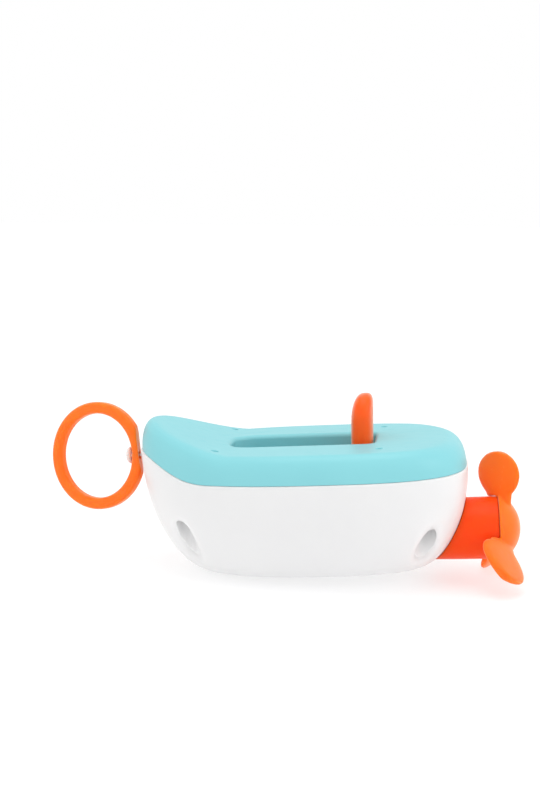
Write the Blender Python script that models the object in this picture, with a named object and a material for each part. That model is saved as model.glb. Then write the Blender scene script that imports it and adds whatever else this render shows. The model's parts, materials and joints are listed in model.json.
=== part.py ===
"""A pull-cord bath boat, built as its separate pieces.

Pulling the bow ring draws a cord off a drum and winds a spring.  The spring
takes the cord back in, and through a ratchet and two gears it turns the
propeller.  A lever in the cockpit holds the drum.

All sizes are millimetres in hull coordinates: x runs aft from the middle of
the hull, y to the side and z up from the flat of the keel.  MM turns them
into metres when a mesh or a place is written.  The empty boat_frame carries
hull coordinates to the part's own origin, which lies under the middle of the
whole boat at the height of the lowest propeller blade.
"""
import math

import bmesh
import bpy
from mathutils import Matrix, Vector

MM = 0.001

# Hull and deck
BOW_X = -77.4
STERN_X = 78.0
WIDEST_X = 10.0
HALF_BEAM = 48.0
SEAM_Z = 47.8
SEAM_RISE = 12.0
DECK_Z = 60.5
DECK_RISE = 14.5
CROWN_INSET = 8.0
STERN_CROWN = 0.6
KEEL_BOW_X = -50.0
KEEL_STERN_X = 56.0
KEEL_MID_X = 4.0
KEEL_HALF_WIDTH = 25.0
WALL = 2.2
GAP = 0.3
AROUND = 60

# Cockpit
COCKPIT_FORE_X = -33.4
COCKPIT_AFT_X = 34.9
COCKPIT_HALF_WIDTH = 15.4
COCKPIT_FLOOR_Z = 32.5
COCKPIT_CORNER = 11.0
COCKPIT_AFT_CORNER = 4.0
COCKPIT_LIP = 2.0
TUB_WALL = 2.0

# Propeller line
SHAFT_Z = 15.6
SHAFT_R = 1.5
POD_R = 14.7
POD_NECK_R = 11.5
POD_NECK_X = 60.9
POD_END_X = 91.0
HUB_X = 91.4
HUB_R = 15.7
HUB_NOSE_X = 101.5
BLADE_X = 92.1
BLADE_MID_R = 25.5
BLADE_DISC = 10.5
BLADE_HALF_CHORD = 13.2
BLADE_NECK = 7.2
BLADE_THICKNESS = 5.4
BLADE_PITCH = math.radians(48.5)
BLADE_TURN = math.radians(-5.7)
BLADES = 3

# Spring motor
DRUM_Z = 38.1
DRUM_FORE_X = 42.0
DRUM_AFT_X = 51.0
DRUM_CORE_R = 8.0
DRUM_FLANGE_R = 12.0
CORD_R = 0.8
WINDING_R = 9.6
GEAR_MODULE = 1.0
GEAR_TEETH = 33
PINION_TEETH = 12
GEAR_X = 53.2
GEAR_WIDTH = 3.8
PRESSURE_ANGLE = math.radians(25.0)
BACKLASH = 0.24
FRONT_PLATE_X = 39.0
REAR_PLATE_X = 58.6
PLATE = 2.0

# Cord run
CORD_Z = DRUM_Z + DRUM_CORE_R + CORD_R
CORD_SIDE_Y = -24.0
PULLEY_PATH_R = 5.3
PULLEY_X = 0.5 * (DRUM_FORE_X + DRUM_AFT_X) - PULLEY_PATH_R
PULLEY_Y = CORD_SIDE_Y + PULLEY_PATH_R
GUIDE_X = -43.0
GUIDE_Y = -20.3
CORD_EXIT_Z = 55.4

# Ring
RING_HINGE_X = -79.2
RING_R = 26.5
RING_BAND = 5.7
RING_THICKNESS = 6.3
RING_REACH = 24.3
RING_TURN = math.radians(-19.0)
RING_TWIST = math.radians(-7.8)
RING_DROOP = math.radians(2.7)
RING_FLAT_PITCH = math.radians(6.0)

# Lever
LEVER_X = 31.0
LEVER_Z = 22.0
LEVER_FOOT_Z = 15.5
LEVER_TOP_Z = 59.7
LEVER_HALF_WIDTH = 11.0
LEVER_LEAN = 0.035

# Hull screws: one in each lower corner
HULL_SCREWS = [(-52.6, -27.2), (-52.6, 27.2), (57.5, -29.8), (57.5, 29.8)]
WELL_R = 4.9
WELL_TOP_Z = 30.0
POST_TOP_Z = 34.0

# From hull coordinates to the part's origin
ORIGIN_X = 13.0107
KEEL_HEIGHT = 9.491


# ---------------------------------------------------------------- helpers

def clear_scene():
    for item in list(bpy.data.objects):
        bpy.data.objects.remove(item, do_unlink=True)


def make_frame():
    frame = bpy.data.objects.new("boat_frame", None)
    frame.location = (ORIGIN_X * MM, 0.0, KEEL_HEIGHT * MM)
    bpy.context.scene.collection.objects.link(frame)
    return frame


def finish(name, colour, roughness, metallic=0.0):
    material = bpy.data.materials.new(name)
    material.use_nodes = True
    shader = material.node_tree.nodes["Principled BSDF"]
    shader.inputs["Base Color"].default_value = (*colour, 1.0)
    shader.inputs["Roughness"].default_value = roughness
    shader.inputs["Metallic"].default_value = metallic
    return material


def mesh_from(name, points, faces):
    """A mesh of points in millimetres, with its faces turned outwards."""
    mesh = bpy.data.meshes.new(name)
    mesh.from_pydata([(x * MM, y * MM, z * MM) for x, y, z in points], [], faces)
    work = bmesh.new()
    work.from_mesh(mesh)
    bmesh.ops.recalc_face_normals(work, faces=work.faces)
    work.to_mesh(mesh)
    work.free()
    mesh.validate()
    return mesh


def add(name, mesh, material, at=(0.0, 0.0, 0.0), turn=(0.0, 0.0, 0.0)):
    """A visible piece, placed in hull coordinates."""
    piece = bpy.data.objects.new(name, mesh)
    mesh.materials.append(material)
    mesh.shade_smooth()
    mesh.set_sharp_from_angle(angle=math.radians(35.0))
    piece.parent = FRAME
    piece.location = [value * MM for value in at]
    piece.rotation_euler = turn
    bpy.context.scene.collection.objects.link(piece)
    return piece


def tool(name, mesh, parent=None):
    """A cutter or a shape to be joined, which isn't part of the boat."""
    piece = bpy.data.objects.new("tool_" + name, mesh)
    piece.parent = parent or FRAME
    piece.hide_render = True
    piece.display_type = "WIRE"
    bpy.context.scene.collection.objects.link(piece)
    return piece


def combine(piece, operand, operation, solver):
    modifier = piece.modifiers.new(operation.lower(), "BOOLEAN")
    modifier.operation = operation
    modifier.solver = solver
    modifier.object = operand


def cut(piece, operand, solver="EXACT"):
    combine(piece, operand, "DIFFERENCE", solver)


def join(piece, operand, solver="EXACT"):
    combine(piece, operand, "UNION", solver)


def ring_stack(name, rings, closed=False):
    """A closed skin over rings of equal length, capped at both ends or joined last to first."""
    count = len(rings[0])
    points = [point for ring in rings for point in ring]
    faces = []
    spans = len(rings) if closed else len(rings) - 1
    for level in range(spans):
        low = level * count
        high = ((level + 1) % len(rings)) * count
        for index in range(count):
            after = (index + 1) % count
            faces.append((low + index, low + after, high + after, high + index))
    if not closed:
        faces.append(tuple(range(count)))
        faces.append(tuple(range(len(points) - count, len(points))))
    return mesh_from(name, points, faces)


def turned(name, profile, segments=24, axis="X", closed=True, centre=(0.0, 0.0, 0.0)):
    """A turned piece.  The profile holds (place along the axis, radius) pairs; it is a
    closed loop off the axis, or with closed=False an open line with flat end caps."""
    rings = []
    for along, radius in profile:
        ring = []
        for step in range(segments):
            angle = 2.0 * math.pi * step / segments
            a = radius * math.cos(angle)
            b = radius * math.sin(angle)
            place = {"X": (along, a, b), "Y": (a, along, b), "Z": (a, b, along)}[axis]
            ring.append(tuple(p + c for p, c in zip(place, centre)))
        rings.append(ring)
    return ring_stack(name, rings, closed)


def rod(name, start, end, radius, segments=16, axis="X", centre=(0.0, 0.0, 0.0)):
    return turned(name, [(start, radius), (end, radius)], segments, axis, False, centre)


def sleeve(name, start, end, inner, outer, segments=20, axis="X", centre=(0.0, 0.0, 0.0)):
    profile = [(start, inner), (start, outer), (end, outer), (end, inner)]
    return turned(name, profile, segments, axis, True, centre)


def prism(name, outline, start, end, axis="Z"):
    """An outline of two-number points, extruded along an axis."""
    rings = []
    for along in (start, end):
        if axis == "Z":
            rings.append([(a, b, along) for a, b in outline])
        elif axis == "Y":
            rings.append([(a, along, b) for a, b in outline])
        else:
            rings.append([(along, a, b) for a, b in outline])
    return ring_stack(name, rings)


def block(name, low, high):
    outline = [(low[0], low[1]), (high[0], low[1]), (high[0], high[1]), (low[0], high[1])]
    return prism(name, outline, low[2], high[2])


def rounded_box_outline(x0, x1, half_width, radius, steps=5, aft_radius=None):
    """A rectangle along x with round corners, which may be tighter at its x1 end."""
    outline = []
    corners = [(x1, half_width, 0), (x0, half_width, 90), (x0, -half_width, 180), (x1, -half_width, 270)]
    fore_radius = radius
    for x, y, begin in corners:
        radius = aft_radius if aft_radius and x == x1 else fore_radius
        cx = x - math.copysign(radius, x - 0.5 * (x0 + x1))
        cy = y - math.copysign(radius, y)
        for step in range(steps + 1):
            angle = math.radians(begin + 90.0 * step / steps)
            outline.append((cx + radius * math.cos(angle), cy + radius * math.sin(angle)))
    return outline


def joined(name, meshes):
    """Several separate bodies in one mesh, for a cutter that works in several places."""
    work = bmesh.new()
    for mesh in meshes:
        work.from_mesh(mesh)
    whole = bpy.data.meshes.new(name)
    work.to_mesh(whole)
    work.free()
    return whole


# ---------------------------------------------------------------- hull form

def signed_power(value, power):
    return math.copysign(abs(value) ** power, value)


def egg(angle, fore_x, aft_x, mid_x, half_width, aft_power, fore_powers):
    """A point of a plan outline: blunter aft than forward."""
    c = math.cos(angle)
    s = math.sin(angle)
    if c >= 0.0:
        reach = aft_x - mid_x
        powers = (aft_power, aft_power)
    else:
        reach = mid_x - fore_x
        powers = fore_powers
    return (mid_x + reach * signed_power(c, 2.0 / powers[0]), half_width * signed_power(s, 2.0 / powers[1]))


def evenly_spaced(outline, count):
    """The same closed outline with its points at equal steps of length."""
    loop = outline + outline[:1]
    lengths = [0.0]
    for first, second in zip(loop, loop[1:]):
        lengths.append(lengths[-1] + math.dist(first, second))
    spaced = []
    index = 0
    for step in range(count):
        target = lengths[-1] * step / count
        while lengths[index + 1] < target:
            index += 1
        share = (target - lengths[index]) / (lengths[index + 1] - lengths[index])
        spaced.append(tuple(a + (b - a) * share for a, b in zip(loop[index], loop[index + 1])))
    return spaced


def offset(outline, distance):
    """The outline moved inwards along its normals."""
    moved = []
    for index, (x, y) in enumerate(outline):
        before = outline[index - 1]
        after = outline[(index + 1) % len(outline)]
        dx = after[0] - before[0]
        dy = after[1] - before[1]
        length = math.hypot(dx, dy)
        moved.append((x - distance * dy / length, y + distance * dx / length))
    return moved


def plan_outline():
    fine = 1440
    points = []
    for step in range(fine):
        angle = 2.0 * math.pi * step / fine
        points.append(egg(angle, BOW_X, STERN_X, WIDEST_X, HALF_BEAM, 3.0, (2.5, 2.0)))
    return evenly_spaced(points, AROUND)


def keel_outline():
    fine = 1440
    points = []
    for step in range(fine):
        angle = 2.0 * math.pi * step / fine
        points.append(egg(angle, KEEL_BOW_X, KEEL_STERN_X, KEEL_MID_X, KEEL_HALF_WIDTH, 2.6, (2.2, 2.0)))
    return evenly_spaced(points, AROUND)


def ease(share):
    share = min(max(share, 0.0), 1.0)
    return share * share * (3.0 - 2.0 * share)


def seam_height(x):
    return SEAM_Z + SEAM_RISE * ease((-38.0 - x) / 41.0) ** 1.5


def deck_height(x):
    return DECK_Z + DECK_RISE * max(0.0, (-30.0 - x) / 42.0) ** 1.4


def bilge(depth):
    """How far the hull has drawn in, from 0 at the seam to 1 at the keel."""
    return 1.0 - max(0.0, 1.0 - depth * depth) ** 0.625


def hull_rings(inset, floor_z, depths):
    """Rings down the hull, drawn in from its outer face by the inset."""
    plan = plan_outline()
    top = offset(plan, inset)
    bottom = offset(keel_outline(), inset)
    rings = []
    for depth in depths:
        share = bilge(depth)
        ring = []
        for (px, _), (x, y), (kx, ky) in zip(plan, top, bottom):
            height = seam_height(px)
            ring.append((x + (kx - x) * share, y + (ky - y) * share, height + (floor_z - height) * depth))
        rings.append(ring)
    return rings


HULL_DEPTHS = [0.0, 0.2, 0.36, 0.5, 0.62, 0.73, 0.82, 0.89, 0.945, 0.98, 1.0]


def hull_solid(name, inset, floor_z):
    return ring_stack(name, hull_rings(inset, floor_z, HULL_DEPTHS))


def round_over(height_share):
    """How far the deck's side has drawn in at a share of its height."""
    return 0.1 * height_share + 0.9 * (1.0 - (1.0 - height_share ** 2.6) ** (1.0 / 2.6))


def deck_rings(rim_inset, crown_inset, lower_top, height_shares):
    """Rings up the deck's side, from the rim to the crown, which lies further in round the stern."""
    plan = plan_outline()
    rim = offset(plan, rim_inset)
    crown = offset(plan, crown_inset)
    rings = []
    for share in height_shares:
        ring = []
        for (px, _), (x, y), (cx, cy) in zip(plan, rim, crown):
            drawn = round_over(share)
            further = 1.0 + STERN_CROWN * ease((px - 52.0) / 24.0)
            cx = x + (cx - x) * further
            cy = y + (cy - y) * further
            low = seam_height(px) + GAP
            high = deck_height(cx) - lower_top
            ring.append((x + (cx - x) * drawn, y + (cy - y) * drawn, low + (high - low) * share))
        rings.append(ring)
    return rings


def rings_between(outer, inner, lower_top, shares):
    """Rings across the deck's top, at shares of the way from one ring to a smaller one."""
    rings = []
    for share in shares:
        ring = []
        for (x, y, _), (ix, iy) in zip(outer, inner):
            px = x + (ix - x) * share
            ring.append((px, y + (iy - y) * share, deck_height(px) - lower_top))
        rings.append(ring)
    return rings


def cockpit_outline(grow):
    """The cockpit's rounded rectangle, made larger all round by grow."""
    x1 = COCKPIT_AFT_X + grow
    x0 = COCKPIT_FORE_X - grow
    half_width = COCKPIT_HALF_WIDTH + grow
    box = rounded_box_outline(x0, x1, half_width, COCKPIT_CORNER + grow, 8, COCKPIT_AFT_CORNER + grow)
    return evenly_spaced([(x1, 0.0)] + box, AROUND)


def level_ring(outline, z):
    return [(x, y, z) for x, y in outline]


def deck_skin():
    """The whole deck as one skin: tub, underside, rim, rounded side, top, cockpit wall and floor."""
    bottom = COCKPIT_FLOOR_Z - TUB_WALL
    tub = cockpit_outline(TUB_WALL)
    rings = [level_ring(cockpit_outline(TUB_WALL - 3.0), bottom)]
    rings.append(level_ring(cockpit_outline(TUB_WALL - 0.9), bottom + 0.9))
    rings.append(level_ring(tub, bottom + 3.0))
    inner_side = deck_rings(4.6, 10.5, 2.4, [0.0, 0.4, 0.7, 0.9, 1.0])
    rings += reversed(rings_between(inner_side[-1], tub, 2.4, [0.5, 1.0]))
    rings += reversed(inner_side)
    side = deck_rings(0.0, CROWN_INSET, 0.0, [0.0, 0.2, 0.4, 0.58, 0.73, 0.86, 0.95, 1.0])
    rings += side
    rings += rings_between(side[-1], cockpit_outline(COCKPIT_LIP), 0.0, [0.35, 0.7, 1.0])
    for step in (1, 2, 3):
        angle = math.radians(30.0 * step)
        lip = cockpit_outline(COCKPIT_LIP * (1.0 - math.sin(angle)))
        rings.append([(x, y, deck_height(x) - COCKPIT_LIP * (1.0 - math.cos(angle))) for x, y in lip])
    rings.append(level_ring(cockpit_outline(0.0), COCKPIT_FLOOR_Z + 3.0))
    rings.append(level_ring(cockpit_outline(-0.9), COCKPIT_FLOOR_Z + 0.9))
    rings.append(level_ring(cockpit_outline(-3.0), COCKPIT_FLOOR_Z))
    return ring_stack("deck", rings)


# ---------------------------------------------------------------- hull and deck

def hull_skin():
    """The whole hull as one skin: outside from the keel up, over the rim, and down the inside."""
    outside = hull_rings(0.0, 0.0, HULL_DEPTHS)
    inside = hull_rings(WALL, WALL, HULL_DEPTHS)
    return ring_stack("hull_shell", outside[::-1] + inside)


def make_hull(white):
    hull = add("hull_shell", hull_skin(), white)
    posts = [rod("post", 1.0, POST_TOP_Z, WELL_R + 1.8, 20, "Z", (x, y, 0.0)) for x, y in HULL_SCREWS]
    posts = tool("hull_posts", joined("hull_posts", posts))
    combine(posts, tool("post_trim", hull_solid("post_trim", 1.1, 1.1)), "INTERSECT", "EXACT")
    join(hull, posts)
    wells = []
    for x, y in HULL_SCREWS:
        profile = [(-5.0, WELL_R), (WELL_TOP_Z, WELL_R), (WELL_TOP_Z, 1.7), (POST_TOP_Z + 2.0, 1.7)]
        wells.append(turned("well", profile, 20, "Z", False, (x, y, 0.0)))
    cut(hull, tool("hull_wells", joined("hull_wells", wells)))
    cut(hull, tool("pod_hole", rod("pod_hole", 55.0, 90.0, POD_NECK_R + GAP, 32, "X", (0.0, 0.0, SHAFT_Z))))
    cut(hull, tool("eyelet_hole", rod("eyelet_hole", -90.0, -68.0, 2.6, 20, "X", (0.0, 0.0, CORD_EXIT_Z))))
    return hull


def make_deck(teal):
    deck = add("deck", deck_skin(), teal)
    bosses = [screw_boss(x, y) for x, y in HULL_SCREWS]
    ears = []
    for side_y in (-8.2, 6.0):
        low = (LEVER_X - 3.5, side_y, LEVER_Z - 3.5)
        ears.append(block("ear", low, (LEVER_X + 3.5, side_y + 2.2, 31.0)))
    guide = (GUIDE_X, GUIDE_Y, 0.0)
    bosses.append(rod("guide_socket", 56.0, deck_height(GUIDE_X) - 1.5, 3.3, 16, "Z", guide))
    join(deck, tool("deck_bosses", joined("deck_bosses", bosses)))
    join(deck, tool("deck_ears", joined("deck_ears", ears)))
    slot = block("lever_slot", (23.0, -5.7, 25.0), (34.6, 5.7, COCKPIT_FLOOR_Z + 1.0))
    cut(deck, tool("lever_slot", slot))
    cut(deck, tool("lever_pin_hole", rod("pin_hole", -12.0, 12.0, 1.4, 14, "Y", (LEVER_X, 0.0, LEVER_Z))))
    pilots = [rod("socket", 50.0, 59.6, 1.8, 12, "Z", guide)]
    for x, y in HULL_SCREWS:
        pilots.append(rod("pilot", POST_TOP_Z - 1.0, POST_TOP_Z + 12.0, 1.5, 12, "Z", (x, y, 0.0)))
    cut(deck, tool("pilots", joined("pilots", pilots)))
    pins = []
    for x in (-36.5, 38.2):
        for y in (-30.0, 30.0):
            pins.append(rod("sink", deck_height(x) - 1.2, DECK_Z + 10.0, 1.5, 14, "Z", (x, y, 0.0)))
    cut(deck, tool("deck_sinks", joined("deck_sinks", pins)))
    return deck


def screw_boss(x, y):
    """A post under the deck for a hull screw, whose top follows the deck's slope."""
    foot = []
    head = []
    for step in range(16):
        angle = 2.0 * math.pi * (step + 0.5) / 16
        c = math.cos(angle)
        s = math.sin(angle)
        foot.append((x + 2.7 * c, y + 2.7 * s, POST_TOP_Z + GAP))
        outward = max(0.0, 3.5 * (c * x + s * y) / math.hypot(x, y))
        head.append((x + 3.5 * c, y + 3.5 * s, deck_height(x + 3.5 * c) - 1.6 - 0.8 * outward))
    return ring_stack("screw_boss", [foot, head])


def make_deck_seal(rubber):
    """A soft ring in the corner between the deck's rim and the hull's wall."""
    plan = plan_outline()
    outer = offset(plan, WALL + GAP)
    inner = offset(plan, WALL + GAP + 1.6)
    rings = []
    for ring, drop in ((outer, 0.4), (inner, 0.4), (inner, 1.7), (outer, 1.7)):
        rings.append([(x, y, seam_height(px) - drop) for (x, y), (px, _) in zip(ring, plan)])
    return add("deck_seal", ring_stack("deck_seal", rings, closed=True), rubber)


def screw_mesh(name, head_r, head, shank_r, length, segments=12):
    """A pan-head screw along +z from under its head, with a cross-cut recess left out."""
    profile = [(-head, head_r * 0.75), (-head * 0.6, head_r), (0.0, head_r), (0.0, shank_r),
               (length - shank_r, shank_r), (length, shank_r * 0.3)]
    return turned(name, profile, segments, "Z", False)


def make_hull_screws(steel):
    for number, (x, y) in enumerate(HULL_SCREWS, 1):
        mesh = screw_mesh(f"hull_screw_{number}", 3.0, 1.8, 1.2, 12.0)
        add(f"hull_screw_{number}", mesh, steel, at=(x, y, WELL_TOP_Z - 0.1))


# ---------------------------------------------------------------- propeller end

def make_pod(orange):
    profile = [(55.0, POD_R - 0.3), (POD_END_X - 1.0, POD_R), (POD_END_X - 0.3, POD_R - 0.3),
               (POD_END_X, POD_R - 1.0)]
    body = turned("propeller_pod", profile, 38, "X", False)
    pod = add("propeller_pod", body, orange, at=(0.0, 0.0, SHAFT_Z))
    outside = tool("hull_outside", hull_solid("hull_outside", -GAP, -GAP))
    cut(pod, outside)
    neck = rod("pod_neck", POD_NECK_X, 82.0, POD_NECK_R, 32, "X", (0.0, 0.0, SHAFT_Z))
    join(pod, tool("pod_neck", neck))
    bore = [(50.0, 8.2), (81.0, 8.2), (81.0, 4.6), (86.0, 4.6), (86.0, 3.6), (95.0, 3.6)]
    cut(pod, tool("pod_bore", turned("pod_bore", bore, 24, "X", False, (0.0, 0.0, SHAFT_Z))))
    pilots = [rod("pod_pilot", 50.0, 70.0, 0.9, 10, "X", (0.0, y, z)) for y, z in pod_screw_places()]
    cut(pod, tool("pod_pilots", joined("pod_pilots", pilots)))
    return pod


def pod_screw_places():
    radius = 0.5 * (8.2 + POD_NECK_R)
    places = []
    for degrees in (90.0, 210.0, 330.0):
        angle = math.radians(degrees)
        places.append((radius * math.cos(angle), SHAFT_Z + radius * math.sin(angle)))
    return places


def make_pod_screws(steel):
    for number, (y, z) in enumerate(pod_screw_places(), 1):
        name = f"pod_screw_{number}"
        mesh = screw_mesh(name, 1.5, 0.9, 0.75, 9.0, 10)
        add(name, mesh, steel, at=(REAR_PLATE_X - 0.2, y, z), turn=(0.0, math.radians(90.0), 0.0))


def make_shaft_line(steel, bronze, rubber, nylon):
    centre = (0.0, 0.0, SHAFT_Z)
    shaft = rod("propeller_shaft", 37.5, 98.0, SHAFT_R, 16)
    add("propeller_shaft", shaft, steel, at=centre)
    bush = sleeve("shaft_bush_front", FRONT_PLATE_X - 0.6, FRONT_PLATE_X + PLATE + 0.4, SHAFT_R + 0.1, 2.4)
    add("shaft_bush_front", bush, bronze, at=centre)
    bush = sleeve("shaft_bush_rear", 86.3, POD_END_X - 0.3, SHAFT_R + 0.1, 3.3)
    add("shaft_bush_rear", bush, bronze, at=centre)
    lip = [(81.6, 2.6), (81.6, 4.3), (85.7, 4.3), (85.7, 1.7), (84.9, 1.7), (84.3, 2.6)]
    add("shaft_seal", turned("shaft_seal", lip, 20), rubber, at=centre)
    pinion = gear_mesh("drive_pinion", PINION_TEETH, SHAFT_R + 0.1, GEAR_WIDTH, 0.5)
    add("drive_pinion", pinion, nylon, at=(GEAR_X, 0.0, SHAFT_Z))


def blade_rings(angle, steps):
    """Sections of one thick paddle blade, from inside the hub out to its tip."""
    shares = [-1.8, -1.2, -0.9, -0.7, -0.45, -0.2, 0.05, 0.3, 0.54, 0.74, 0.88, 0.96, 0.99]
    rings = []
    for share in shares:
        disc = max(0.0, 1.0 - share * share)
        neck = BLADE_NECK ** 4 * (1.0 if share < 0.0 else disc ** 2)
        half_chord = (neck + (BLADE_HALF_CHORD * math.sqrt(disc)) ** 4) ** 0.25
        radius = BLADE_MID_R + BLADE_DISC * share
        thick = 0.5 * BLADE_THICKNESS * (1.0 - 0.25 * max(0.0, 0.4 + 0.6 * share) ** 2)
        thick = min(thick, half_chord)
        ring = []
        for step in range(steps):
            turn = 2.0 * math.pi * step / steps
            along = half_chord * signed_power(math.cos(turn), 0.9)
            across = thick * signed_power(math.sin(turn), 0.9)
            x = along * math.cos(BLADE_PITCH) + across * math.sin(BLADE_PITCH)
            side = -along * math.sin(BLADE_PITCH) + across * math.cos(BLADE_PITCH)
            y = side * math.cos(angle) - radius * math.sin(angle)
            z = side * math.sin(angle) + radius * math.cos(angle)
            ring.append((BLADE_X - HUB_X + x, y, z))
        rings.append(ring)
    return rings


def make_propeller(orange):
    """Hub and blades in one piece, turning about the shaft's line."""
    hub_centre = 0.5 * (HUB_NOSE_X - HUB_X) - 0.5 * HUB_R ** 2 / (HUB_NOSE_X - HUB_X)
    nose_r = HUB_NOSE_X - HUB_X - hub_centre
    profile = [(0.0, HUB_R)]
    for step in range(1, 9):
        along = (HUB_NOSE_X - HUB_X) * math.sin(0.5 * math.pi * step / 9.0)
        profile.append((along, math.sqrt(nose_r ** 2 - (along - hub_centre) ** 2)))
    profile.append((HUB_NOSE_X - HUB_X, 0.6))
    hub = turned("propeller", profile, 36, "X", False)
    propeller = add("propeller", hub, orange, at=(HUB_X, 0.0, SHAFT_Z))
    clearance = sleeve("pod_clearance", -40.0, 0.0, 0.2, POD_R + 0.5, 36)
    for number in range(BLADES):
        rings = blade_rings(BLADE_TURN + 2.0 * math.pi * number / BLADES, 14)
        blade = tool(f"blade_{number + 1}", ring_stack("blade", rings), propeller)
        cut(blade, tool(f"blade_clearance_{number + 1}", clearance, propeller))
        join(propeller, blade)
    cut(propeller, tool("hub_bore", rod("hub_bore", -5.0, 7.0, SHAFT_R + 0.1, 16), propeller))
    return propeller


# ---------------------------------------------------------------- gears

def involute_angle(radius, base):
    angle = math.acos(min(1.0, base / radius))
    return math.tan(angle) - angle


def gear_outline(teeth, addendum):
    """A spur gear's outline with involute flanks, in the plane across its axis."""
    pitch_r = 0.5 * GEAR_MODULE * teeth
    base_r = pitch_r * math.cos(PRESSURE_ANGLE)
    tip_r = pitch_r + addendum * GEAR_MODULE
    root_r = pitch_r - 1.2 * GEAR_MODULE
    half_tooth = 0.5 * (0.5 * math.pi * GEAR_MODULE - 0.5 * BACKLASH) / pitch_r
    half_tooth += involute_angle(pitch_r, base_r)
    start_r = max(base_r, root_r)
    outline = []
    for tooth in range(teeth):
        middle = 2.0 * math.pi * tooth / teeth
        flank = []
        for step in range(4):
            radius = start_r + (tip_r - start_r) * step / 3.0
            flank.append((radius, half_tooth - involute_angle(radius, base_r)))
        foot = half_tooth - involute_angle(start_r, base_r)
        rising = [(root_r, -foot)] if start_r > root_r else []
        rising += [(radius, -angle) for radius, angle in flank]
        falling = [(radius, -angle) for radius, angle in reversed(rising)]
        for radius, angle in rising + falling:
            outline.append((radius * math.cos(middle + angle), radius * math.sin(middle + angle)))
    return outline


def gear_mesh(name, teeth, bore_r, width, phase, addendum=0.9):
    """A gear about the x axis.  Phase turns it by that share of a tooth."""
    turn = 2.0 * math.pi * phase / teeth
    spun = []
    for a, b in gear_outline(teeth, addendum):
        spun.append((a * math.cos(turn) - b * math.sin(turn), a * math.sin(turn) + b * math.cos(turn)))
    count = len(spun)
    bore = []
    for index in range(count):
        angle = math.atan2(spun[index][1], spun[index][0])
        bore.append((bore_r * math.cos(angle), bore_r * math.sin(angle)))
    rings = [[(0.0, a, b) for a, b in spun], [(width, a, b) for a, b in spun],
             [(width, a, b) for a, b in bore], [(0.0, a, b) for a, b in bore]]
    return ring_stack(name, rings, closed=True)


# ---------------------------------------------------------------- spring motor

def make_motor_plates(grey):
    plate = block("gearbox_front", (FRONT_PLATE_X, -9.0, 2.6), (FRONT_PLATE_X + PLATE, 9.0, 56.0))
    front = add("gearbox_front", plate, grey)
    arms = [block("arm", (FRONT_PLATE_X, -17.0, 12.0), (FRONT_PLATE_X + PLATE, 17.0, 18.0)),
            block("arm", (FRONT_PLATE_X, -19.5, 50.8), (FRONT_PLATE_X + PLATE, 19.5, 56.0)),
            block("arm", (FRONT_PLATE_X, -25.0, 41.6), (FRONT_PLATE_X + PLATE, -8.0, 44.4)),
            block("shelf", (FRONT_PLATE_X + 0.1, -24.6, 41.9), (47.0, -12.9, 44.1))]
    for y, z in standoff_places():
        arms.append(rod("standoff", FRONT_PLATE_X + 1.0, REAR_PLATE_X - GAP, 2.3, 14, "X", (0.0, y, z)))
    for number, arm in enumerate(arms, 1):
        join(front, tool(f"front_arm_{number}", arm))
    cuts = [rod("hole", 30.0, 45.0, 2.5, 16, "X", (0.0, 0.0, SHAFT_Z)),
            rod("hole", 30.0, 45.0, SHAFT_R + 0.1, 16, "X", (0.0, 0.0, DRUM_Z)),
            block("window", (30.0, -5.2, 18.9), (45.0, 5.2, 28.0)),
            rod("hole", 40.0, 50.0, 1.1, 12, "Z", (PULLEY_X, PULLEY_Y, 0.0))]
    cuts += [rod("pilot", 50.0, 62.0, 0.9, 10, "X", (0.0, y, z)) for y, z in standoff_places()]
    cut(front, tool("front_holes", joined("front_holes", cuts)))
    half = [(9.0, 8.0), (16.6, 12.0), (18.0, 20.0), (19.0, 48.0), (19.0, 56.0)]
    outline = half + [(-y, z) for y, z in reversed(half)]
    plate = prism("gearbox_rear", outline, REAR_PLATE_X, REAR_PLATE_X + PLATE, "X")
    rear = add("gearbox_rear", plate, grey)
    holes = [rod("hole", 55.0, 65.0, SHAFT_R + 0.5, 16, "X", (0.0, 0.0, SHAFT_Z)),
             rod("hole", 55.0, 65.0, SHAFT_R + 0.1, 16, "X", (0.0, 0.0, DRUM_Z))]
    holes += [rod("hole", 55.0, 65.0, 1.2, 10, "X", (0.0, y, z)) for y, z in standoff_places()]
    holes += [rod("hole", 55.0, 65.0, 1.1, 10, "X", (0.0, y, z)) for y, z in pod_screw_places()]
    cut(rear, tool("rear_holes", joined("rear_holes", holes)))


def standoff_places():
    return [(-14.3, 15.0), (14.3, 15.0), (-16.4, 53.4), (16.4, 53.4)]


def make_motor_screws(steel):
    for number, (y, z) in enumerate(standoff_places(), 1):
        name = f"gearbox_screw_{number}"
        mesh = screw_mesh(name, 2.0, 1.0, 0.75, 7.5, 10)
        add(name, mesh, steel, at=(REAR_PLATE_X + PLATE + 0.2, y, z), turn=(0.0, math.radians(-90.0), 0.0))


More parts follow.
